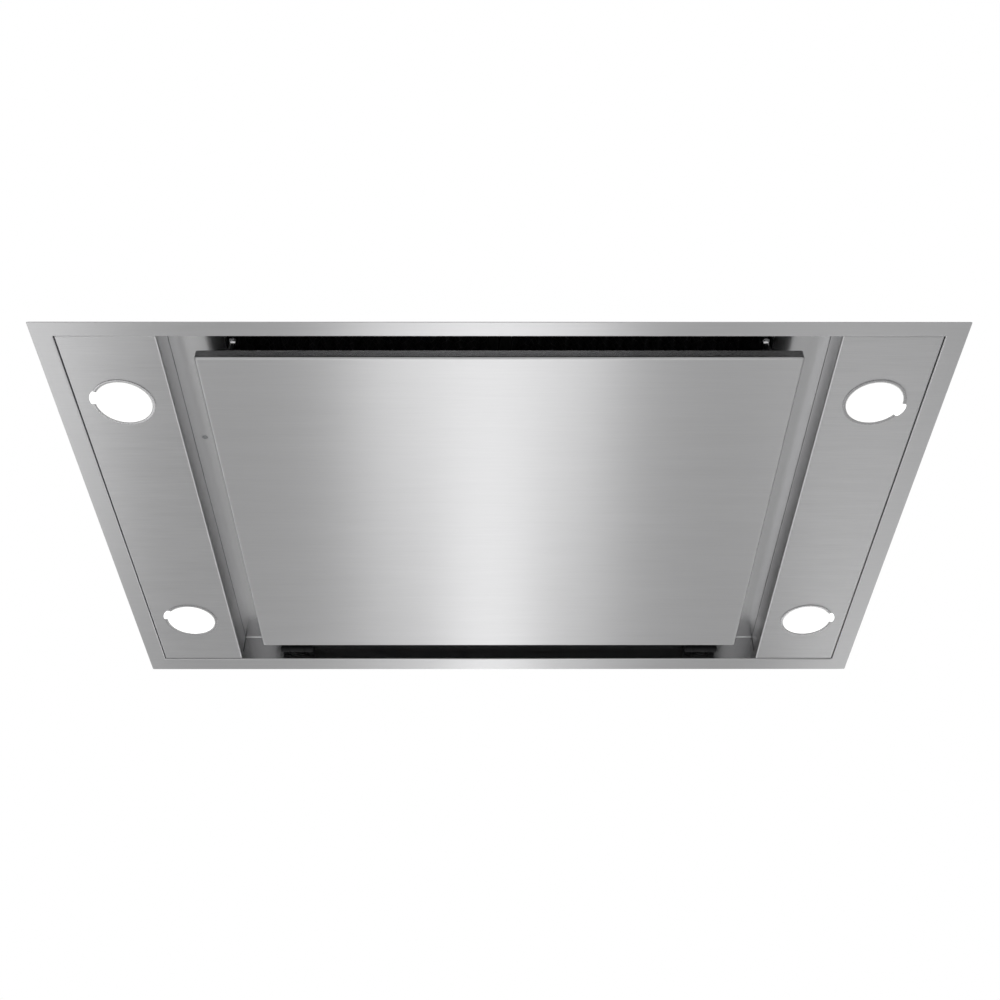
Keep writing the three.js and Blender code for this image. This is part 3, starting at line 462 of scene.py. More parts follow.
stainless = makeStainless("stainless", stainlessLook)
trayStainless = makeStainless("trayStainless", trayLook)
litSideStainless = makeStainless("litSideStainless", litSideLook)
bareSheet = makeStainless("bareSheet", sheetLook)
inletSheet = makeStainless("inletSheet", inletLook)
shadedEdgeSheet = makeStainless("shadedEdgeSheet", shadedEdgeLook)
gritty = {name: makeGritty(name, *look) for name, look in grittyLooks.items()}
polished = gritty["polishedSteel"]
blackShadowSteel = gritty["blackShadowSteel"]
galvanised = makeGalvanised("galvanised", zincLook)
lampGlow = makeLampGlow("lampGlow", glowLook)

slotMaterials = {
    "stainless": stainless,
    "polished_steel": polished,
    "galvanised": galvanised,
    "aluminium": gritty["aluminium"],
    "black_aluminium": gritty["blackAluminium"],
    "dark_steel": gritty["darkSteel"],
    "black_plastic": gritty["blackPlastic"],
    "grey_plastic": gritty["greyPlastic"],
    "board_green": gritty["boardGreen"],
    "lamp_white": lampGlow,
}
nodeMaterials = {"inlet_tray": inletSheet, "panel_catch": blackShadowSteel}


def dressNodes():
    for row in frame["record"]["subparts"]:
        node = nodes[row["node"]]
        material = slotMaterials[row["material_slot"]]
        for start, special in nodeMaterials.items():
            if row["node"].startswith(start):
                material = special
        node.data.materials.clear()
        node.data.materials.append(material)


dressNodes()
print("materials: ready")

# folded and machined edges of the nodes that stay

edgeSoftness = {
    "inlet_tray": 0.35, "casing": 0.5, "fan_box_walls": 0.5, "filter_frame": 1.0, "filter_latch": 0.5,
    "control_box": 2.0, "panel_catch": 0.25, "lamp_driver": 1.2, "terminal_block": 0.5, "damper_flap": 0.3,
}


def addBevel(piece, width, angle):
    bevel = piece.modifiers.new("edges", "BEVEL")
    bevel.width = width * mm
    bevel.segments = 2
    bevel.limit_method = "ANGLE"
    bevel.angle_limit = math.radians(angle)


def softenEdges(softness):
    # a welded copy of the faceted surface with small rounds along its real edges
    for start, width in softness.items():
        for name, node in nodes.items():
            if name.startswith(start):
                weld = node.modifiers.new("weld", "WELD")
                weld.merge_threshold = 0.02 * mm
                addBevel(node, width, 40)


softenEdges(edgeSoftness)
print("edges: softened")

# surfaces worked out with numpy


def meshFromFaces(name, points, faces, material, smooth=True):
    data = bpy.data.meshes.new(name)
    points = np.asarray(points, np.float32).reshape(-1, 3)
    faces = np.asarray(faces, np.int32)
    count, sides = faces.shape
    data.vertices.add(len(points))
    data.vertices.foreach_set("co", points.ravel())
    data.loops.add(count * sides)
    data.loops.foreach_set("vertex_index", faces.ravel())
    data.polygons.add(count)
    data.polygons.foreach_set("loop_start", np.arange(0, count * sides, sides, dtype=np.int32))
    data.polygons.foreach_set("use_smooth", np.full(count, smooth))
    data.update(calc_edges=True)
    data.materials.append(material)
    return addObject(name, data)


def gridFaces(rows, columns, closeRows, closeColumns):
    # quads between neighbouring rows and columns of a grid of points
    row = np.arange(rows if closeRows else rows - 1)
    column = np.arange(columns if closeColumns else columns - 1)
    r, c = np.meshgrid(row, column, indexing="ij")
    nextR, nextC = (r + 1) % rows, (c + 1) % columns
    turns = (r * columns + c, r * columns + nextC, nextR * columns + nextC, nextR * columns + c)
    return np.stack(turns, -1).reshape(-1, 4)


def repeatFaces(faces, size, count):
    # the same faces for each of so many pieces of one size, one after the other
    return (faces[None] + (np.arange(count) * size)[:, None, None]).reshape(-1, 4)


def roundedProfile(points, radius, steps=4, closed=True):
    # each corner becomes a quadratic curve between points one radius, or half a side, away from it
    points = np.asarray(points, float)
    before = np.roll(points, 1, 0) - points
    after = np.roll(points, -1, 0) - points
    reach = np.broadcast_to(np.asarray(radius, float), (len(points),)).copy()
    longBefore = np.linalg.norm(before, axis=1)
    longAfter = np.linalg.norm(after, axis=1)
    reach = np.minimum(reach, 0.45 * np.minimum(longBefore, longAfter))
    if not closed:
        reach[[0, -1]] = 0
    start = points + before * (reach / longBefore)[:, None]
    end = points + after * (reach / longAfter)[:, None]
    t = np.linspace(0, 1, steps + 1)[None, :, None]
    curve = (1 - t) ** 2 * start[:, None] + 2 * t * (1 - t) * points[:, None] + t ** 2 * end[:, None]
    return curve.reshape(-1, 2)


def closeUp(piece, weld=True, fill=False):
    # merges the doubled points of seams and poles, fills open ends and turns every face outwards
    work = bmesh.new()
    work.from_mesh(piece.data)
    if weld:
        bmesh.ops.remove_doubles(work, verts=work.verts, dist=1e-6)
        bmesh.ops.dissolve_degenerate(work, edges=work.edges, dist=1e-7)
    if fill:
        bmesh.ops.holes_fill(work, edges=[edge for edge in work.edges if edge.is_boundary])
    bmesh.ops.recalc_face_normals(work, faces=work.faces)
    work.to_mesh(piece.data)
    work.free()
    return piece


def turnedPiece(name, profile, steps, centre, material, axis="z"):
    # a closed profile of (radius, height) carried round the axis: x = r cos a, y = r sin a, z = h
    profile = np.asarray(profile, float)
    angle = np.linspace(0, 2 * math.pi, steps, endpoint=False)[:, None]
    high = np.broadcast_to(profile[None, :, 1], (steps, len(profile)))
    u, v = profile[None, :, 0] * np.cos(angle), profile[None, :, 0] * np.sin(angle)
    order = {"z": (u, v, high), "y": (v, high, u), "x": (high, u, v)}[axis]
    points = np.stack(order, -1) + np.asarray(centre, float)
    return closeUp(meshFromFaces(name, points * mm, gridFaces(steps, len(profile), True, True), material))


def rodProfile(reach, nose):
    # a 4 mm rod from -reach to reach with tapered noses
    return [(0, -reach), (nose, -reach), (2.0, -reach + 0.6), (2.0, reach - 0.6), (nose, reach), (0, reach)]


def dress(piece, body, slot, *replaced):
    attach(piece, body)
    if replaced:
        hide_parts(*replaced)


# folded sheet: an outer skin of real bends, which Solidify gives its thickness


def inside(box, inset):
    return np.array(box) + np.array((1, -1, 1, -1)) * inset


def cornerRing(box, z, radius, breaks=(), steps=4):
    # a rectangle with quarter-round corners, anticlockwise from above.
    # Breaks are more points on its long sides
    left, right, near, far = box
    swing = np.linspace(0, math.pi / 2, steps + 1)
    parts = []
    for turn, (x, y) in enumerate(((right, far), (left, far), (left, near), (right, near))):
        centreX = x - math.copysign(radius, x - (left + right) / 2)
        centreY = y - math.copysign(radius, y - (near + far) / 2)
        angle = swing + turn * math.pi / 2
        parts.append(np.column_stack((centreX + radius * np.cos(angle), centreY + radius * np.sin(angle))))
        if breaks and turn in (0, 2):
            parts.append(np.array([(x, y) for x in (breaks[::-1] if turn == 0 else breaks)]))
    flat = np.vstack(parts)
    return np.column_stack((flat, np.full(len(flat), z)))


def bendRings(box, z, bend, radius, steps=8):
    # from a flat underside to an upright wall: inset bend (1 - sin t), height bend (1 - cos t)
    rings = []
    for t in np.linspace(0, math.pi / 2, steps + 1):
        inset = bend * (1 - math.sin(t))
        rings.append(cornerRing(inside(box, inset), z + bend * (1 - math.cos(t)), max(radius - inset, 0.02)))
    return rings


def skinPiece(name, grids, faceMaterials, sheet, seenFrom, fills=(), bevel=0.0):
    # grids: rows of points, and whether each row closes on itself. fills: flat edge rings with their holes.
    # faceMaterials: of the flat faces, and where there are three, of the bends and of the upright walls. The
    # lamp trays' and the centre panel's upright walls take lighter and darker copies of their steel, painted
    # light and painted shade.
    # The skin is the side that looks at the point seenFrom, and the sheet's thickness lies behind it
    points, faces, lines, spans = [], [], [], []
    start = drawn = 0
    for grid, closed in grids:
        grid = np.asarray(grid, float)
        points.append(grid.reshape(-1, 3))
        faces.append(gridFaces(len(grid), grid.shape[1], False, closed) + start)
        start += len(points[-1])
    for rings in fills:
        for ring in rings:
            order = np.arange(len(ring))
            points.append(ring)
            lines.append(np.column_stack((order, np.roll(order, -1))) + start)
            start += len(ring)
        total = sum(len(line) for line in lines)
        spans.append((drawn, total))
        drawn = total
    data = bpy.data.meshes.new(name)
    quads = np.vstack(faces).tolist() if faces else []
    data.from_pydata((np.vstack(points) * mm).tolist(), np.vstack(lines).tolist() if lines else [], quads)
    for finish in faceMaterials:
        data.materials.append(finish)
    piece = addObject(name, data)
    work = bmesh.new()
    work.from_mesh(data)
    loose = [edge for edge in work.edges if edge.is_wire]
    for first, last in spans:
        bmesh.ops.triangle_fill(work, edges=loose[first:last], use_beauty=True)
    bmesh.ops.remove_doubles(work, verts=work.verts, dist=2e-6)
    bmesh.ops.recalc_face_normals(work, faces=work.faces)
    eye = Vector(seenFrom) * mm
    if sum(side.calc_area() * side.normal.dot(eye - side.calc_center_median()) for side in work.faces) < 0:
        bmesh.ops.reverse_faces(work, faces=work.faces)
    # upright walls get the third material: for the trays and the centre panel a painted-light or
    # painted-shade copy
    if len(faceMaterials) == 3:
        for side in work.faces:
            steep = abs(side.normal.z)
            side.material_index = 2 if steep < 0.3 else 1 if steep < 0.98 else 0
    work.to_mesh(data)
    work.free()
    wall = piece.modifiers.new("sheet", "SOLIDIFY")
    wall.thickness = sheet * mm
    wall.offset = -1
    wall.use_even_offset = True
    if bevel:
        addBevel(piece, bevel, 50)
    return piece


def circle(x, y, z, radius, steps):
    angle = np.linspace(0, 2 * math.pi, steps, endpoint=False)
    return np.column_stack((x + radius * np.cos(angle), y + radius * np.sin(angle), np.full(steps, z)))


below = (0, 0, -5000)
above = (0, 0, 5000)
# the centre panel's upright edge takes the darker copy of the sheet: painted shade
panelLooksWithShadedEdge = (stainless, stainless, shadedEdgeSheet)
# the lamp trays' upright walls take the lighter copy of their steel: painted light
trayLooksWithLitSides = (trayStainless, trayStainless, litSideStainless)
rim = {
    "side": 20.8, "front": 18.3, "rear": 23.3,  # visible widths, which leave a hair's gap to the lamp panels
    "sheet": 2.0, "foldSheet": 1.2, "bend": 1.2, "edge": 0.35, "corner": 1.2,
    "lowFold": 8.0, "reach": 337.3, "ledge": 34.45, "fillet": 1.6,
}


def makeRim():
    outer = around("rim_frame")
    opening = outer + np.array((rim["side"], -rim["side"], rim["front"], -rim["rear"]))
    breaks = (-rim["reach"], rim["reach"])
    # seen from the opening the bend is an inner one, so its rings grow as they go down
    rings = []
    for t in np.linspace(math.pi / 2, 0, 9):
        grow, level = rim["bend"] * (1 - math.sin(t)), rim["bend"] * (1 - math.cos(t))
        rings.append(cornerRing(inside(opening, -grow), level, rim["corner"] + grow, breaks))
    rings.append(cornerRing(inside(outer, rim["edge"]), 0, rim["corner"], breaks))
    rings.append(cornerRing(outer, rim["edge"], rim["corner"], breaks))
    plate = skinPiece("rimPlate", [(rings, True)], (stainless,), rim["sheet"], below)
    grids = [([cornerRing(opening, z, rim["corner"], breaks) for z in (rim["lowFold"], rim["bend"])], True)]
    # the tall folds end in a small fillet against the ledge
    t = np.linspace(0, math.pi / 2, 7)
    inward = np.concatenate(([0], rim["fillet"] * (1 - np.cos(t))))
    height = np.concatenate(([rim["lowFold"]], rim["ledge"] - rim["fillet"] * (1 - np.sin(t))))
    for y, sign in ((opening[2], 1), (opening[3], -1)):
        grids.append(([[(x, y + sign * step, z) for x in breaks] for step, z in zip(inward, height)], False))
    folds = skinPiece("rimFolds", grids, (bareSheet,), rim["foldSheet"], (0, 0, 12))
    dress(plate, "hood_body", "stainless", "rim_frame")
    dress(folds, "hood_body", "stainless")


lampTray = {
    "sheet": 1.2, "bend": 1.8, "corner": 1.9, "lip": 12.0,
    "flange": 12.0, "topBend": 0.8, "holeGap": 1.5, "holeSteps": 96,
}


def makeLampTray(side, sign):
    # a tray with a low lip all round, and towards the recess a tall wall that bends outwards at its top
    node = f"lamp_panel_{side}"
    box = around(node)
    low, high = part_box(node)
    foot, top = low.z / mm, high.z / mm
    wallX = box[0] if sign > 0 else box[1]
    corner, bend = lampTray["corner"], lampTray["topBend"]
    rings = bendRings(box, foot, lampTray["bend"], corner)
    rings.append(cornerRing(box, foot + lampTray["lip"], corner))
    t = np.linspace(0, math.pi / 2, 7)
    outward = np.concatenate(([0], bend * (1 - np.cos(t)), [lampTray["flange"]]))
    height = np.concatenate(([foot + lampTray["lip"]], top - bend * (1 - np.sin(t)), [top]))
    ends = (box[2] + corner, box[3] - corner)
    strip = [[(wallX + sign * step, y, z) for y in ends] for step, z in zip(outward, height)]
    holes = []
    for end in ("front", "rear"):
        lens = around(f"lamp_lens_{end}_{side}")
        radius = (lens[1] - lens[0]) / 2 + lampTray["holeGap"]
        x, y = (lens[0] + lens[1]) / 2, (lens[2] + lens[3]) / 2
        holes.append(circle(x, y, foot, radius, lampTray["holeSteps"]))
    piece = skinPiece(f"lampTray_{side}", [(rings, True), (strip, False)], trayLooksWithLitSides, lampTray["sheet"],
                      below, [(rings[0], *holes)])
    dress(piece, "hood_body", "stainless", node)


face = {"sheet": 1.2, "bend": 2.6, "corner": 2.7, "edge": 0.2}


def makeFace():
    box = around("centre_panel")
    low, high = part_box("centre_panel")
    rings = bendRings(box, low.z / mm, face["bend"], face["corner"])
    rings.append(cornerRing(box, high.z / mm - face["edge"], face["corner"]))
    rings.append(cornerRing(inside(box, face["edge"]), high.z / mm, face["corner"]))
    piece = skinPiece("panelFace", [(rings, True)], panelLooksWithShadedEdge, face["sheet"], below, [(rings[0],)])
    dress(piece, "panel", "stainless", "centre_panel")


makeRim()
for side, sign in zip(sideNames, (-1, 1)):
    makeLampTray(side, sign)
makeFace()
print("folded sheet: done")

# lamps

lamp = {
    "steps": 96,
    "gap": 0.3,  # lens to ring
    "wall": 0.9,
    "lip": 1.8,  # beyond the sleeve
    "lipTop": 0.9,
    "height": 16.0,
    "shoulder": 1.5,
    "shoulderLevel": 2.5,
    "dome": 0.21,
    "tabSheet": (0.03, 0.25),
    "tabLap": 0.5,  # over the lens
    "tabReach": 1.9,
    "tabAngle": 32.0,
    "tabSteps": 25,
}
# where each finger tab points: degrees from straight outboard towards the front edge
tabTurns = {"front_left": 14, "front_right": -19, "rear_left": 24, "rear_right": 13}


def makeLamp(end, side, sign):
    label = f"{end}_{side}"
    x, y, _ = centreOf(f"lamp_lens_{label}")
    lensBox = around(f"lamp_lens_{label}")
    reach = (lensBox[1] - lensBox[0]) / 2
    seat = reach + lamp["gap"]
    sleeve = seat + lamp["wall"]
    lip = sleeve + lamp["lip"]
    shoulder = reach - lamp["shoulder"]
    ring = roundedProfile([
        (seat, 0.4), (lip, 0.3), (lip, lamp["lipTop"]), (sleeve, lamp["lipTop"]),
        (sleeve, lamp["height"]), (shoulder, lamp["height"]),
        (shoulder, lamp["shoulderLevel"]), (seat, lamp["shoulderLevel"]),
    ], 0.3)
    bezel = turnedPiece(f"lampRing_{label}", ring, lamp["steps"], (x, y, 0), gritty["satinSteel"])
    # the finger tab: an arc of thin plate that laps the lens and the ring and swells outwards
    half = math.radians(lamp["tabAngle"] / 2)
    swing = np.linspace(-half, half, lamp["tabSteps"])
    bulge = lamp["tabReach"] * np.cos(swing / half * math.pi / 2) ** 0.5
    low, high = lamp["tabSheet"]
    section = np.array([(0, low), (1, low), (1, high), (0, high)])
    inner = reach - lamp["tabLap"]
    radius = inner + section[None, :, 0] * (lip - inner + bulge[:, None])
    aim = math.radians(-tabTurns[label]) if sign > 0 else math.pi + math.radians(tabTurns[label])
    turn = aim + swing[:, None]
    level = np.broadcast_to(section[None, :, 1], radius.shape)
    points = np.stack((x + radius * np.cos(turn), y + radius * np.sin(turn), level), -1) * mm
    faces = gridFaces(lamp["tabSteps"], 4, False, True)
    tab = meshFromFaces(f"lampTab_{label}", points, faces, lampGlow, False)
    closeUp(tab, weld=False, fill=True)
    # the lens bulges a little: its face falls with the square of the radius
    r = np.linspace(0, 1, 20) ** 0.7 * (reach - 0.3)
    front = np.stack((r, 0.3 + lamp["dome"] * (r / reach) ** 2), -1)
    edge = [(reach, 0.8), (reach, 2.0), (reach - 0.3, 2.2), (0, 2.2)]
    lens = turnedPiece(f"lampLens_{label}", np.vstack((front, edge)), lamp["steps"], (x, y, 0), lampGlow)
    spots = np.empty(len(lens.data.vertices) * 3, np.float32)
    lens.data.vertices.foreach_get("co", spots)
    across = np.hypot(*(spots.reshape(-1, 3)[:, :2] / mm - (x, y)).T) / reach
    lens.data.attributes.new("reach", "FLOAT", "POINT").data.foreach_set("value", across.astype(np.float32))
    dress(bezel, "hood_body", "polished_steel", f"lamp_bezel_{label}")
    dress(tab, "hood_body", "lamp_white")
    dress(lens, "hood_body", "lamp_white", f"lamp_lens_{label}")


for quarter in quarters:
    makeLamp(*quarter)
print("lamps: done")

# ball studs on the centre panel

stud = {
    "ball": 5.0, "neck": 2.2, "collar": 4.2, "collarHeight": 1.6, "steps": 48,
    "rise": 2.5, "inset": 5.5,  # of the ball's centre from the foot's front edge
    "corner": 3.0, "edge": 0.3, "halfFoot": 9.0,
}


def makeStud(side):
    low, high = boxOf(f"catch_stud_{side}")
    spot = ((low.x + high.x) / 2, low.y + stud["inset"], 0)
    collar, neck, edge, rise = stud["collar"], stud["neck"], stud["edge"], stud["rise"]
    # the ball is a circle's arc from the neck round to its far pole
    swing = np.linspace(math.asin(neck / stud["ball"]), math.pi, 24)
    level = high.z - stud["ball"] - stud["ball"] * np.cos(swing)
    profile = np.vstack(([(0, level[0])], np.column_stack((stud["ball"] * np.sin(swing), level))))
    ball = turnedPiece(f"ballStud_{side}", profile, stud["steps"], spot, polished)
    seat, shoulder, root = low.z + rise - 0.5, low.z + rise + stud["collarHeight"], level[0] + 0.2
    profile = [(0, seat), (collar, seat), (collar, shoulder - 0.4), (collar - 0.4, shoulder),
               (neck, shoulder + 0.4), (neck, root), (0, root)]
    post = turnedPiece(f"studPost_{side}", profile, stud["steps"], spot, blackShadowSteel)
    # the foot is a rounded plate, a little smaller at its lower and upper edges
    plate = np.array([(low.x, low.y), (high.x, low.y), (high.x, high.y), (low.x, high.y)])
    outline = roundedProfile(plate, stud["corner"], 6)
    middle = outline.mean(0)
    layers = []
    for inset, height in ((edge, 0.0), (0.0, edge), (0.0, rise - edge), (edge, rise)):
        flat = middle + (outline - middle) * (1 - inset / stud["halfFoot"])
        layers.append(np.column_stack((flat, np.full(len(flat), low.z + height))))
    faces = gridFaces(4, len(outline), False, True)
    foot = meshFromFaces(f"studFoot_{side}", np.array(layers) * mm, faces, blackShadowSteel, False)
    closeUp(foot, weld=False, fill=True)
    dress(ball, "panel", "polished_steel", f"catch_stud_{side}")
    dress(post, "panel", "dark_steel")
    dress(foot, "panel", "dark_steel")


for side in sideNames:
    makeStud(side)
print("studs: done")

# closed back of the centre panel

backPlate = {"sheet": 0.8, "border": 52.0, "step": 1.4, "slope": 4.0, "corner": 6.0, "edge": 0.3}


def makeBackPlate():
    # a flat border for the hinges and studs, and a field pressed down inside it
    look = backPlate
    box = around("panel_back")
    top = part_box("panel_back")[1].z / mm
    border, slope, step, corner = look["border"], look["slope"], look["step"], look["corner"]
    levels = ((border + slope, step, corner), (border + slope * 0.85, step * 0.93, corner + 0.6),
              (border + slope * 0.15, step * 0.07, corner + 3.4), (border, 0, corner + 4),
              (look["edge"], 0, 1.2), (0, look["edge"], 1.2))
    rings = [cornerRing(inside(box, inset), top - drop, radius) for inset, drop, radius in levels]
    # its near-black steel is partly a coating and partly painted shade behind the panel
    piece = skinPiece("panelBackPlate", [(rings, True)], (gritty["darkSteel"],), look["sheet"], above,
                      [(rings[0],)])
    dress(piece, "panel", "dark_steel", "panel_back")


makeBackPlate()
print("panel back: done")

# hinges: flat leaves whose ends are rolled into eyes round a pin

hinge = {
    "sheet": 2.2, "eye": 4.5, "corner": 2.5, "bend": 2.6, "eyeSteps": 28, "open": 0.35,
    "knuckle": 10.5,  # length of each of the leaf's eyes
    "gap": 0.5, "armCorner": 4, "armFlat": 5.5, "armPlate": 30,
}


def rolledEye(y, z, start, turn):
    # points (y, z) on a circle of radius r: y + r sin a, z + r cos a, from the top round to an opening
    angle = np.linspace(start, start + turn * (2 * math.pi - hinge["open"]), hinge["eyeSteps"])
    return np.column_stack((y + hinge["eye"] * np.sin(angle), z + hinge["eye"] * np.cos(angle)))


def acrossX(path, ends):
    # a path of (y, z) drawn straight along X: one row of the grid at each end
    path = np.asarray(path, float)
    return np.stack([np.column_stack((np.full(len(path), x), path)) for x in ends])


def flatRing(points, radius, steps=6):
    # a rounded outline without its doubled points
    outline = roundedProfile(points, radius, steps)
    apart = np.linalg.norm(outline - np.roll(outline, 1, 0), axis=1) > 1e-4
    return outline[apart]


def makeHinge(side):
    leafLow, leafHigh = boxOf(f"hinge_leaf_{side}")
    armLow, armHigh = boxOf(f"hinge_arm_{side}")
    x, y, z = centreOf(f"hinge_pin_{side}")
    half = (leafHigh.x - leafLow.x) / 2
    middle = half - hinge["knuckle"]
    wallY = leafHigh.y - hinge["sheet"]
    top = z + hinge["eye"]
    bend, corner, gap = hinge["bend"], hinge["corner"], hinge["gap"]
    t = np.linspace(0, math.pi / 2, 7)
    turn = np.column_stack((wallY - bend * (1 - np.cos(t)), top + bend * (1 - np.sin(t))))
    path = np.vstack((turn, rolledEye(y, z, 0, -1)))
    spans = ((-half, -middle - gap), (middle + gap, half))
    grids = [(acrossX(path, (x + a, x + b)), False) for a, b in spans]
    foot = top + bend
    outline = flatRing([(x - half, foot), (x + half, foot), (x + half, leafHigh.z), (x - half, leafHigh.z)],
                       [0, 0, corner, corner])
    plate = np.column_stack((outline[:, 0], np.full(len(outline), wallY), outline[:, 1]))
    leaf = skinPiece(f"hingeLeaf_{side}", grids, (blackShadowSteel,), hinge["sheet"], (x, -5000, z), [(plate,)])
    # the arm lies on the panel's back and narrows to its eye
    wide = (armHigh.x - armLow.x) / 2
    root, neck, curve = y - hinge["armFlat"], armLow.y + hinge["armPlate"], hinge["armCorner"]
    strip = np.vstack(([(root, armHigh.z), (root + 3, armHigh.z)], rolledEye(y, z, 0, 1)))
    outline = flatRing([(x - wide, armLow.y), (x + wide, armLow.y), (x + wide, neck), (x + middle, neck),
                        (x + middle, root), (x - middle, root), (x - middle, neck), (x - wide, neck)],
                       [curve, curve, curve, 2, 0, 0, 2, curve])
    plate = np.column_stack((outline, np.full(len(outline), armHigh.z)))
    arm = skinPiece(f"hingeArm_{side}", [(acrossX(strip, (x - middle, x + middle)), False)],
                    (blackShadowSteel,), hinge["sheet"], above, [(plate,)])
    pin = turnedPiece(f"hingePin_{side}", rodProfile(half + 1, 1.3), 32, (x, y, z), blackShadowSteel, "x")
    dress(leaf, "hood_body", "dark_steel", f"hinge_leaf_{side}")
    dress(arm, "panel", "dark_steel", f"hinge_arm_{side}")
    dress(pin, "hood_body", "polished_steel", f"hinge_pin_{side}")


for side in sideNames:
    makeHinge(side)
print("hinges: done")

# the remote control's receiver

receiver = {"eye": 2.3, "rim": 2.8, "face": 34.6, "case": 6.8, "depth": 1.7, "dome": 0.35, "steps": 48}


def makeReceiver():
    # a shallow dome in a rim, and a case with rounded corners behind the ledge
    x, y, _ = centreOf("remote_receiver")
    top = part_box("remote_receiver")[1].z / mm
    level, rimRadius, case = receiver["face"], receiver["rim"], receiver["case"]
    back = level + receiver["depth"]
    r = np.linspace(0, receiver["eye"], 8)
    dome = np.column_stack((r, level - 0.05 + receiver["dome"] * (r / receiver["eye"]) ** 2))
    body = roundedProfile([(rimRadius, level + 0.1), (rimRadius, back), (case, back), (case, top), (0, top)],
                          [0.3, 0, 1.0, 1.2, 0], 4, False)
    profile = np.vstack((dome, body))
    piece = turnedPiece("receiverEye", profile, receiver["steps"], (x, y, 0), gritty["greyPlastic"])
    dress(piece, "hood_body", "black_plastic", "remote_receiver")


makeReceiver()
print("receiver: done")

# expanded mesh on the grease filters

filterMesh = {
    "strandPitch": 4.6,  # between strands, along the pleats' slopes
    "halfDiamond": 5.0,  # along Y
    "strand": 0.8,  # width, and half of it is the thickness
    "pleats": 18,
    "rise": 6.4,
    "under": 0.55,  # below the pleated sheet
    "lowest": 0.9,
}


def makeFilterMesh(side):
    # strands that zigzag along Y and meet their neighbours, laid on a pleated sheet: with s along the slopes,
    # x goes steadily with s, and z is a triangle wave of it
    look = filterMesh
    left, right, near, far = around(f"filter_mesh_{side}")
    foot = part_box(f"filter_mesh_{side}")[0].z / mm
    slope = (right - left) / (2 * look["pleats"])
    slant = math.hypot(slope, look["rise"])
    length = slant * 2 * look["pleats"]
    count = int(length / look["strandPitch"])
    pitch = length / count
    steps = int((far - near) / look["halfDiamond"])
    strand = np.arange(count)[:, None, None]
    step = np.arange(steps + 1)[None, :, None]
    swing = np.where((strand + step) % 2 == 0, 0.5, -0.5) * (pitch - look["strand"] * 0.6)
    section = np.array([(-1, -0.5), (1, -0.5), (1, 0.5), (-1, 0.5)]) * look["strand"] / 2
    s = np.clip((strand + 0.5) * pitch + swing + section[None, None, :, 0], 0.2, length - 0.2)
    fraction = s / slant
    wave = 1 - np.abs(fraction % 2 - 1)
    z = foot - look["under"] + wave * look["rise"] + section[None, None, :, 1]
    y = np.broadcast_to(near + 0.5 + step * (far - near - 1) / steps, s.shape)
    points = np.stack((left + fraction * slope, y, np.maximum(z, foot - look["lowest"])), -1)
    size = (steps + 1) * 4
    ends = np.array([[3, 2, 1, 0], np.arange(4) + steps * 4])
    parts = (gridFaces(steps + 1, 4, False, True), ends)
    faces = np.vstack([repeatFaces(part, size, count) for part in parts])
    piece = meshFromFaces(f"filterMesh_{side}", points * mm, faces, gritty["shadowMeshAluminium"], False)
    dress(closeUp(piece, weld=False), "hood_body", "black_aluminium")


for side in sideNames:
    makeFilterMesh(side)
print("filters: done")

# fan box lid and the controls' lid: pressed sheet with a sunken field

fanLid = {"sheet": 1.0, "bend": 2.2, "corner": 3.0, "border": 24.0, "slope": 5.0, "step": 1.8}
boxLid = {"sheet": 1.2, "bend": 2.0, "corner": 4.0, "border": 16.0, "slope": 2.0, "step": 1.0}


def makeLid(name, node, look, material, slot):
    # from the field's edge out to the flat top, then down to the wall:
    # inset bend (1 - sin t), drop bend (1 - cos t)
    box = around(node)
    low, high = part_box(node)
    top = high.z / mm
    border, slope, step, corner, bend = (look[part] for part in ("border", "slope", "step", "corner", "bend"))
    levels = [(border + slope, step), (border + slope * 0.85, step * 0.93),
              (border + slope * 0.15, step * 0.07), (border, 0)]
    rings = [cornerRing(inside(box, inset), top - drop, corner + 8) for inset, drop in levels]
    for t in np.linspace(0, math.pi / 2, 7):
        inset, drop = bend * (1 - math.sin(t)), bend * (1 - math.cos(t))
        rings.append(cornerRing(inside(box, inset), top - drop, corner))
    rings.append(cornerRing(box, low.z / mm, corner))
    piece = skinPiece(name, [(rings, True)], (material,), look["sheet"], above, [(rings[0],)])
    dress(piece, "hood_body", slot, node)


makeLid("fanBoxLid", "fan_box_cover", fanLid, galvanised, "galvanised")
makeLid("controlBoxLid", "control_lid", boxLid, gritty["greyPlastic"], "grey_plastic")
print("lids: done")

# outlet: a plate, a tube with two beads, and the pin of its flaps

outlet = {
    "plate": 1.5, "corner": 6.0, "bead": 1.1, "beadWidth": 5.0, "beads": (36.0, 48.0), "beadSpan": (30, 54),
    "lap": 0.6, "rim": 0.4, "steps": 128, "edge": 0.3,
}


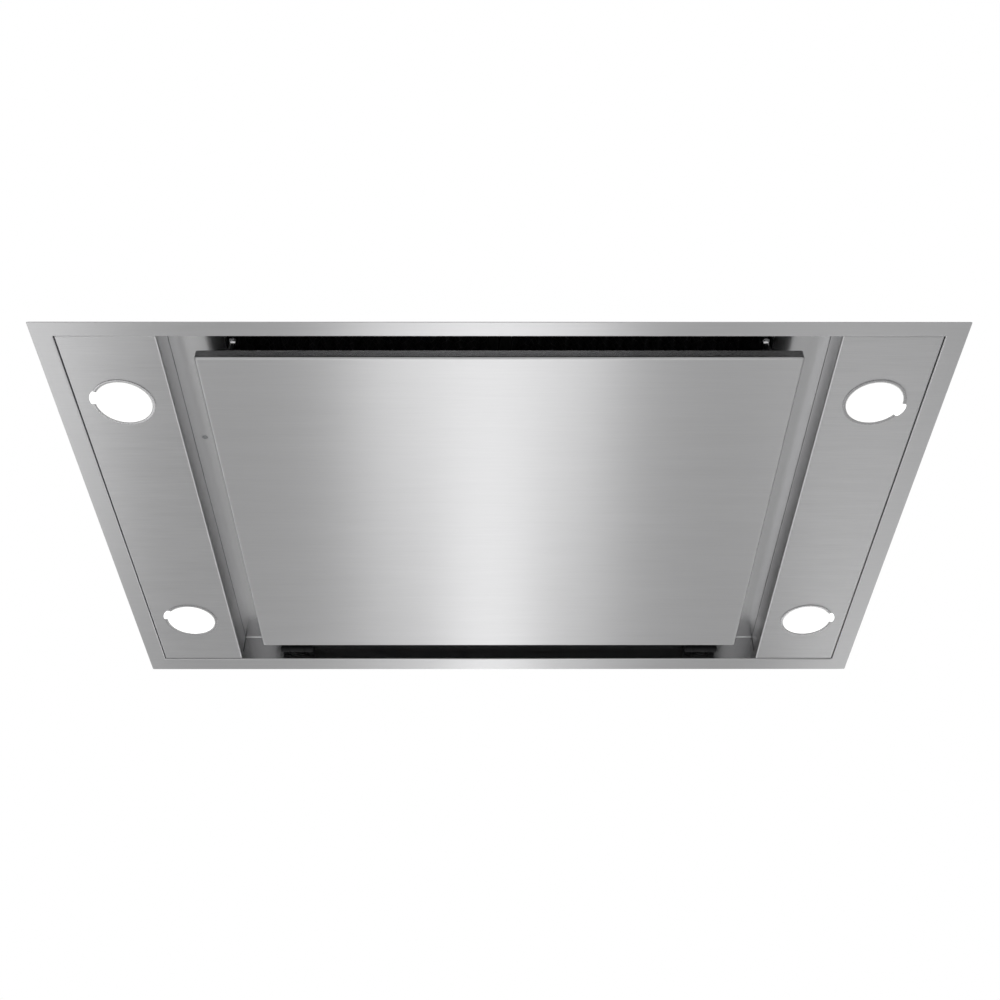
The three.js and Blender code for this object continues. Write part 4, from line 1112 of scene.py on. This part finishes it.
def makeOutlet():
    low, high = boxOf("outlet_spigot")
    x, z = (low.x + high.x) / 2, (low.z + high.z) / 2
    radius = (high.z - low.z) / 2 - outlet["plate"]
    bore, rimEdge = radius - outlet["plate"], outlet["rim"]
    outline = flatRing([(low.x, low.z), (high.x, low.z), (high.x, high.z), (low.x, high.z)], outlet["corner"])
    y = low.y + outlet["plate"]
    edge = np.column_stack((outline[:, 0], np.full(len(outline), y), outline[:, 1]))
    hole = circle(x, z, y, radius - outlet["lap"], outlet["steps"])[:, [0, 2, 1]]
    plate = skinPiece("outletPlate", [], (galvanised,), outlet["plate"], (x, 5000, z), [(edge, hole)],
                      outlet["edge"])
    # the tube's outside is its radius plus a raised cosine at each bead
    along = np.concatenate(([rimEdge], np.linspace(*outlet["beadSpan"], 61), [high.y - low.y - rimEdge]))
    swell = np.zeros(len(along))
    for bead in outlet["beads"]:
        near = np.abs(along - bead) < outlet["beadWidth"] / 2
        wave = (1 + np.cos((along - bead) / outlet["beadWidth"] * 2 * math.pi)) / 2
        swell += np.where(near, wave, 0) * outlet["bead"]
    outside = np.column_stack((radius + swell, low.y + along))
    rims = [(radius - rimEdge, high.y), (bore + rimEdge, high.y), (bore, high.y - rimEdge),
            (bore, low.y + rimEdge), (bore + rimEdge, low.y)]
    tube = turnedPiece("outletTube", np.vstack((outside, rims)), outlet["steps"], (x, 0, z), galvanised, "y")
    pinLow, pinHigh = boxOf("damper_pin")
    spot = (x, (pinLow.y + pinHigh.y) / 2, (pinLow.z + pinHigh.z) / 2)
    pin = turnedPiece("flapPin", rodProfile((pinHigh.z - pinLow.z) / 2, 1.4), 32, spot, polished)
    dress(plate, "hood_body", "galvanised", "outlet_spigot")
    dress(tube, "hood_body", "galvanised")
    dress(pin, "hood_body", "polished_steel", "damper_pin")


makeOutlet()
print("outlet: done")

# hangers: a strip bent twice, with a hole in its top tab

hanger = {"sheet": 2.5, "bend": 4.5, "corner": 5.0, "hole": 4.5, "bendSteps": 8, "edge": 0.3}


def makeHanger(end, side, sign):
    node = f"hanger_{end}_{side}"
    low, high = boxOf(node)
    x, y, _ = centreOf(node)
    half = (high.x - low.x) / 2
    bend, corner = hanger["bend"], hanger["corner"]
    t = np.linspace(0, math.pi / 2, hanger["bendSteps"])
    # the outer line of the bends: reach - bend (1 - sin t) outboard, bend (1 - cos t) from each end
    lower = np.column_stack((half - bend * (1 - np.sin(t)), low.z + bend * (1 - np.cos(t))))
    upper = np.column_stack((lower[::-1, 0], high.z + low.z - lower[::-1, 1]))
    path = np.vstack((lower, upper))
    grid = np.stack([np.column_stack((x + sign * path[:, 0], np.full(len(path), row), path[:, 1]))
                     for row in (y - half, y + half)])
    flat = flatRing([(half - bend, -half), (half - bend, half), (-half, half), (-half, -half)],
                    [0, 0, corner, corner])
    fills = []
    for level, holes in ((low.z, []), (high.z, [circle(x, y, high.z, hanger["hole"], 40)])):
        ring = np.column_stack((x + sign * flat[:, 0], y + flat[:, 1], np.full(len(flat), level)))
        fills.append((ring, *holes))
    piece = skinPiece(f"hangerStrip_{end}_{side}", [(grid, False)], (galvanised,), hanger["sheet"],
                      (sign * 5000, y, 0), fills, hanger["edge"])
    dress(piece, "hood_body", "galvanised", node)


for quarter in quarters:
    makeHanger(*quarter)
print("hangers: done")

# cable gland: a six-sided nut and a rounded cap on a bored stem

gland = {
    "bore": 4.0, "stem": 8.0, "cap": 8.8, "length": 14, "steps": 48,
    "nut": 10.9, "nutDepth": 6.0, "nutSteps": 72,
}


def makeGland():
    low, high = boxOf("cable_gland")
    x, z = (low.x + high.x) / 2, (low.z + high.z) / 2
    nose, tail = low.y, high.y
    back = nose + gland["length"]
    front = back - gland["nutDepth"]
    bore, stem, cap = gland["bore"], gland["stem"], gland["cap"]
    profile = roundedProfile([(bore, nose), (cap - 1.4, nose), (cap, nose + 4), (cap, front), (stem, front),
                              (stem, tail), (bore, tail)], [0.8, 1.5, 2.0, 0.2, 0.2, 0.8, 0.3], 5)
    body = turnedPiece("glandCap", profile, gland["steps"], (x, 0, z), gritty["blackPlastic"], "y")
    # a hexagon in polar form, cut back at its corners: flat / cos of the angle from the nearest flat's middle
    angle = np.linspace(0, 2 * math.pi, gland["nutSteps"], endpoint=False)
    even = np.ones(gland["nutSteps"])
    flat = gland["nut"] * math.cos(math.pi / 6)
    shape = flat / np.cos((angle % (math.pi / 3)) - math.pi / 6)
    rows = [(front + 0.05, even * stem), (front, even * (flat - 0.6)),
            (front + 0.9, np.minimum(shape, flat + 0.7)), (front + 1.5, shape), (back - 0.4, shape),
            (back, shape - 0.4), (back, even * stem)]
    grid = [np.column_stack((x + r * np.cos(angle), even * y, z + r * np.sin(angle))) for y, r in rows]
    faces = gridFaces(len(rows), gland["nutSteps"], True, True)
    nut = closeUp(meshFromFaces("glandNut", np.array(grid) * mm, faces, gritty["blackPlastic"], False))
    dress(body, "hood_body", "black_plastic", "cable_gland")
    dress(nut, "hood_body", "black_plastic")


makeGland()
print("gland: done")

# screws: low domed heads with a cross recess

screw = {"radius": 3.4, "height": 1.8, "arm": 0.56, "slot": 0.14, "wall": 0.05, "depth": 0.6, "turn": 2.4}
screwAxes = {
    "up": ((1, 0, 0), (0, 1, 0), (0, 0, 1)),
    "right": ((0, 1, 0), (0, 0, 1), (1, 0, 0)), "left": ((0, 1, 0), (0, 0, 1), (-1, 0, 0)),
    "rear": ((1, 0, 0), (0, 0, 1), (0, 1, 0)), "front": ((1, 0, 0), (0, 0, 1), (0, -1, 0)),
}


def screwHead(look):
    # a square grid (u, v) drawn to a domed disc, x = u sqrt(1 - v v / 2), y = v sqrt(1 - u u / 2).
    # Its lines follow the cross, inside which the height drops
    arm, slot, wall = look["arm"], look["slot"], look["wall"]
    half = np.array((slot, slot + wall, arm, arm + wall, 0.82, 1.0, 1.0))
    line = np.concatenate((-half[::-1], half))
    u, v = np.meshgrid(line, line, indexing="ij")
    x, y = u * np.sqrt(1 - v * v / 2), v * np.sqrt(1 - u * u / 2)
    height = 0.45 + 0.55 * np.sqrt(np.maximum(0, 1 - (x * x + y * y) ** 1.5))
    long, thin = arm + 0.001, slot + 0.001
    cross = (np.abs(u) < thin) & (np.abs(v) < long) | (np.abs(v) < thin) & (np.abs(u) < long)
    height = np.where(cross, 1 - look["depth"], height)
    height[[0, -1], :] = 0
    height[:, [0, -1]] = 0
    return np.stack((x, y, height), -1).reshape(-1, 3), gridFaces(len(line), len(line), False, False)


def makeScrews(name, body, slot, material, rows, size=1.0):
    # rows: which way the heads face, and their seats. Each head is turned a little more than the one before
    points, faces = screwHead(screw)
    points = points * (screw["radius"] * size, screw["radius"] * size, screw["height"] * size)
    groups = []
    for facing, seats in rows:
        seats = np.asarray(seats, float).reshape(-1, 3)
        turn = (np.arange(len(seats)) * screw["turn"])[:, None]
        across = points[None, :, 0] * np.cos(turn) - points[None, :, 1] * np.sin(turn)
        along = points[None, :, 0] * np.sin(turn) + points[None, :, 1] * np.cos(turn)
        local = np.stack((across, along, np.broadcast_to(points[None, :, 2], across.shape)), -1)
        groups.append((local @ np.array(screwAxes[facing], float) + seats[:, None, :]).reshape(-1, 3))
    heads = np.vstack(groups)
    faces = repeatFaces(faces, len(points), len(heads) // len(points))
    piece = meshFromFaces(name, heads * mm, faces, material, False)
    dress(closeUp(piece, fill=True), body, slot)


def spaced(low, high, inset, count):
    return np.linspace(low + inset, high - inset, count)


def rowsRound(box, z, inset, countX, countY, lap):
    # seats along all four sides of a box, inset from its edges
    xs, ys = spaced(box[0], box[1], inset + lap, countX), spaced(box[2], box[3], inset + lap, countY)
    near = [(x, y, z) for x in xs for y in (box[2] + inset, box[3] - inset)]
    return near + [(x, y, z) for y in ys for x in (box[0] + inset, box[1] - inset)]


screwSeats = {
    "casing": (8, 5, 3, 22),  # inset, counts along X and Y, and how much farther in the first one sits
    "fanBox": (6.5, 6, 4, 24),
    "fanBoxFoot": 1.5,  # thickness
    "casingSide": (9, (24, 56, 90)),  # inset and heights
    "fanLid": (30, 5, 4, 6),  # inset, counts along X and Y, and height
    "controlLid": 9,
    "outlet": 8,
    "hanger": (9, 12),  # inboard of the tab's middle, and to both sides of it
    "leaf": (12, 6),  # to both sides of the middle, and below the top
    "arm": (9, (9, 22)),  # to both sides of the middle, and from the front end
}


def placeScrews(places):
    zinc, steel = ("hood_body", "galvanised", galvanised), ("hood_body", "polished_steel", polished)
    casing, top = around("casing_top"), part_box("casing_top")[1].z / mm
    makeScrews("casingScrews", *zinc, [("up", rowsRound(casing, top, *places["casing"]))])
    seats = rowsRound(around("fan_box_walls"), top + places["fanBoxFoot"], *places["fanBox"])
    makeScrews("fanBoxScrews", *zinc, [("up", seats)])
    inset, heights = places["casingSide"]
    sides = [[(x, y, z) for y in inside(casing, inset)[2:] for z in heights] for x in casing[:2]]
    makeScrews("casingCornerScrews", *zinc, [("left", sides[0]), ("right", sides[1])])
    inset, countX, countY, rise = places["fanLid"]
    lid, level = around("fan_box_cover"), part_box("fan_box_cover")[0].z / mm + rise
    xs, ys = spaced(lid[0], lid[1], inset, countX), spaced(lid[2], lid[3], inset, countY)
    makeScrews("fanLidScrews", *zinc, [
        ("front", [(x, lid[2], level) for x in xs]), ("rear", [(x, lid[3], level) for x in xs]),
        ("left", [(lid[0], y, level) for y in ys]), ("right", [(lid[1], y, level) for y in ys]),
    ], 0.85)
    lid, top = inside(around("control_lid"), places["controlLid"]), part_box("control_lid")[1].z / mm
    makeScrews("controlLidScrews", *steel, [("up", [(x, y, top) for x in lid[:2] for y in lid[2:]])], 0.9)
    (low, high), inset = boxOf("outlet_spigot"), places["outlet"]
    seats = [(x, low.y + outlet["plate"], z) for x in (low.x + inset, high.x - inset)
             for z in (low.z + inset, high.z - inset)]
    makeScrews("outletScrews", *zinc, [("rear", seats)], 0.9)
    (inboard, apart), seats = places["hanger"], []
    for end, side, sign in quarters:
        x, y, _ = centreOf(f"hanger_{end}_{side}")
        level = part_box(f"hanger_{end}_{side}")[0].z / mm + hanger["sheet"]
        seats += [(x - sign * inboard, y + step, level) for step in (-apart, apart)]
    makeScrews("hangerScrews", *steel, [("up", seats)], 1.3)
    (leafApart, drop), (armApart, along) = places["leaf"], places["arm"]
    leafSeats, armSeats = [], []
    for side in sideNames:
        x = centreOf(f"hinge_leaf_{side}").x
        high = boxOf(f"hinge_leaf_{side}")[1]
        leafSeats += [(x + step, high.y - hinge["sheet"], high.z - drop) for step in (-leafApart, leafApart)]
        low, high = boxOf(f"hinge_arm_{side}")
        armSeats += [(x + step, low.y + y, high.z) for y in along for step in (-armApart, armApart)]
    makeScrews("hingeScrews", "hood_body", "dark_steel", blackShadowSteel, [("front", leafSeats)], 0.8)
    makeScrews("armScrews", "panel", "dark_steel", blackShadowSteel, [("up", armSeats)], 0.8)


placeScrews(screwSeats)
print("screws: done")
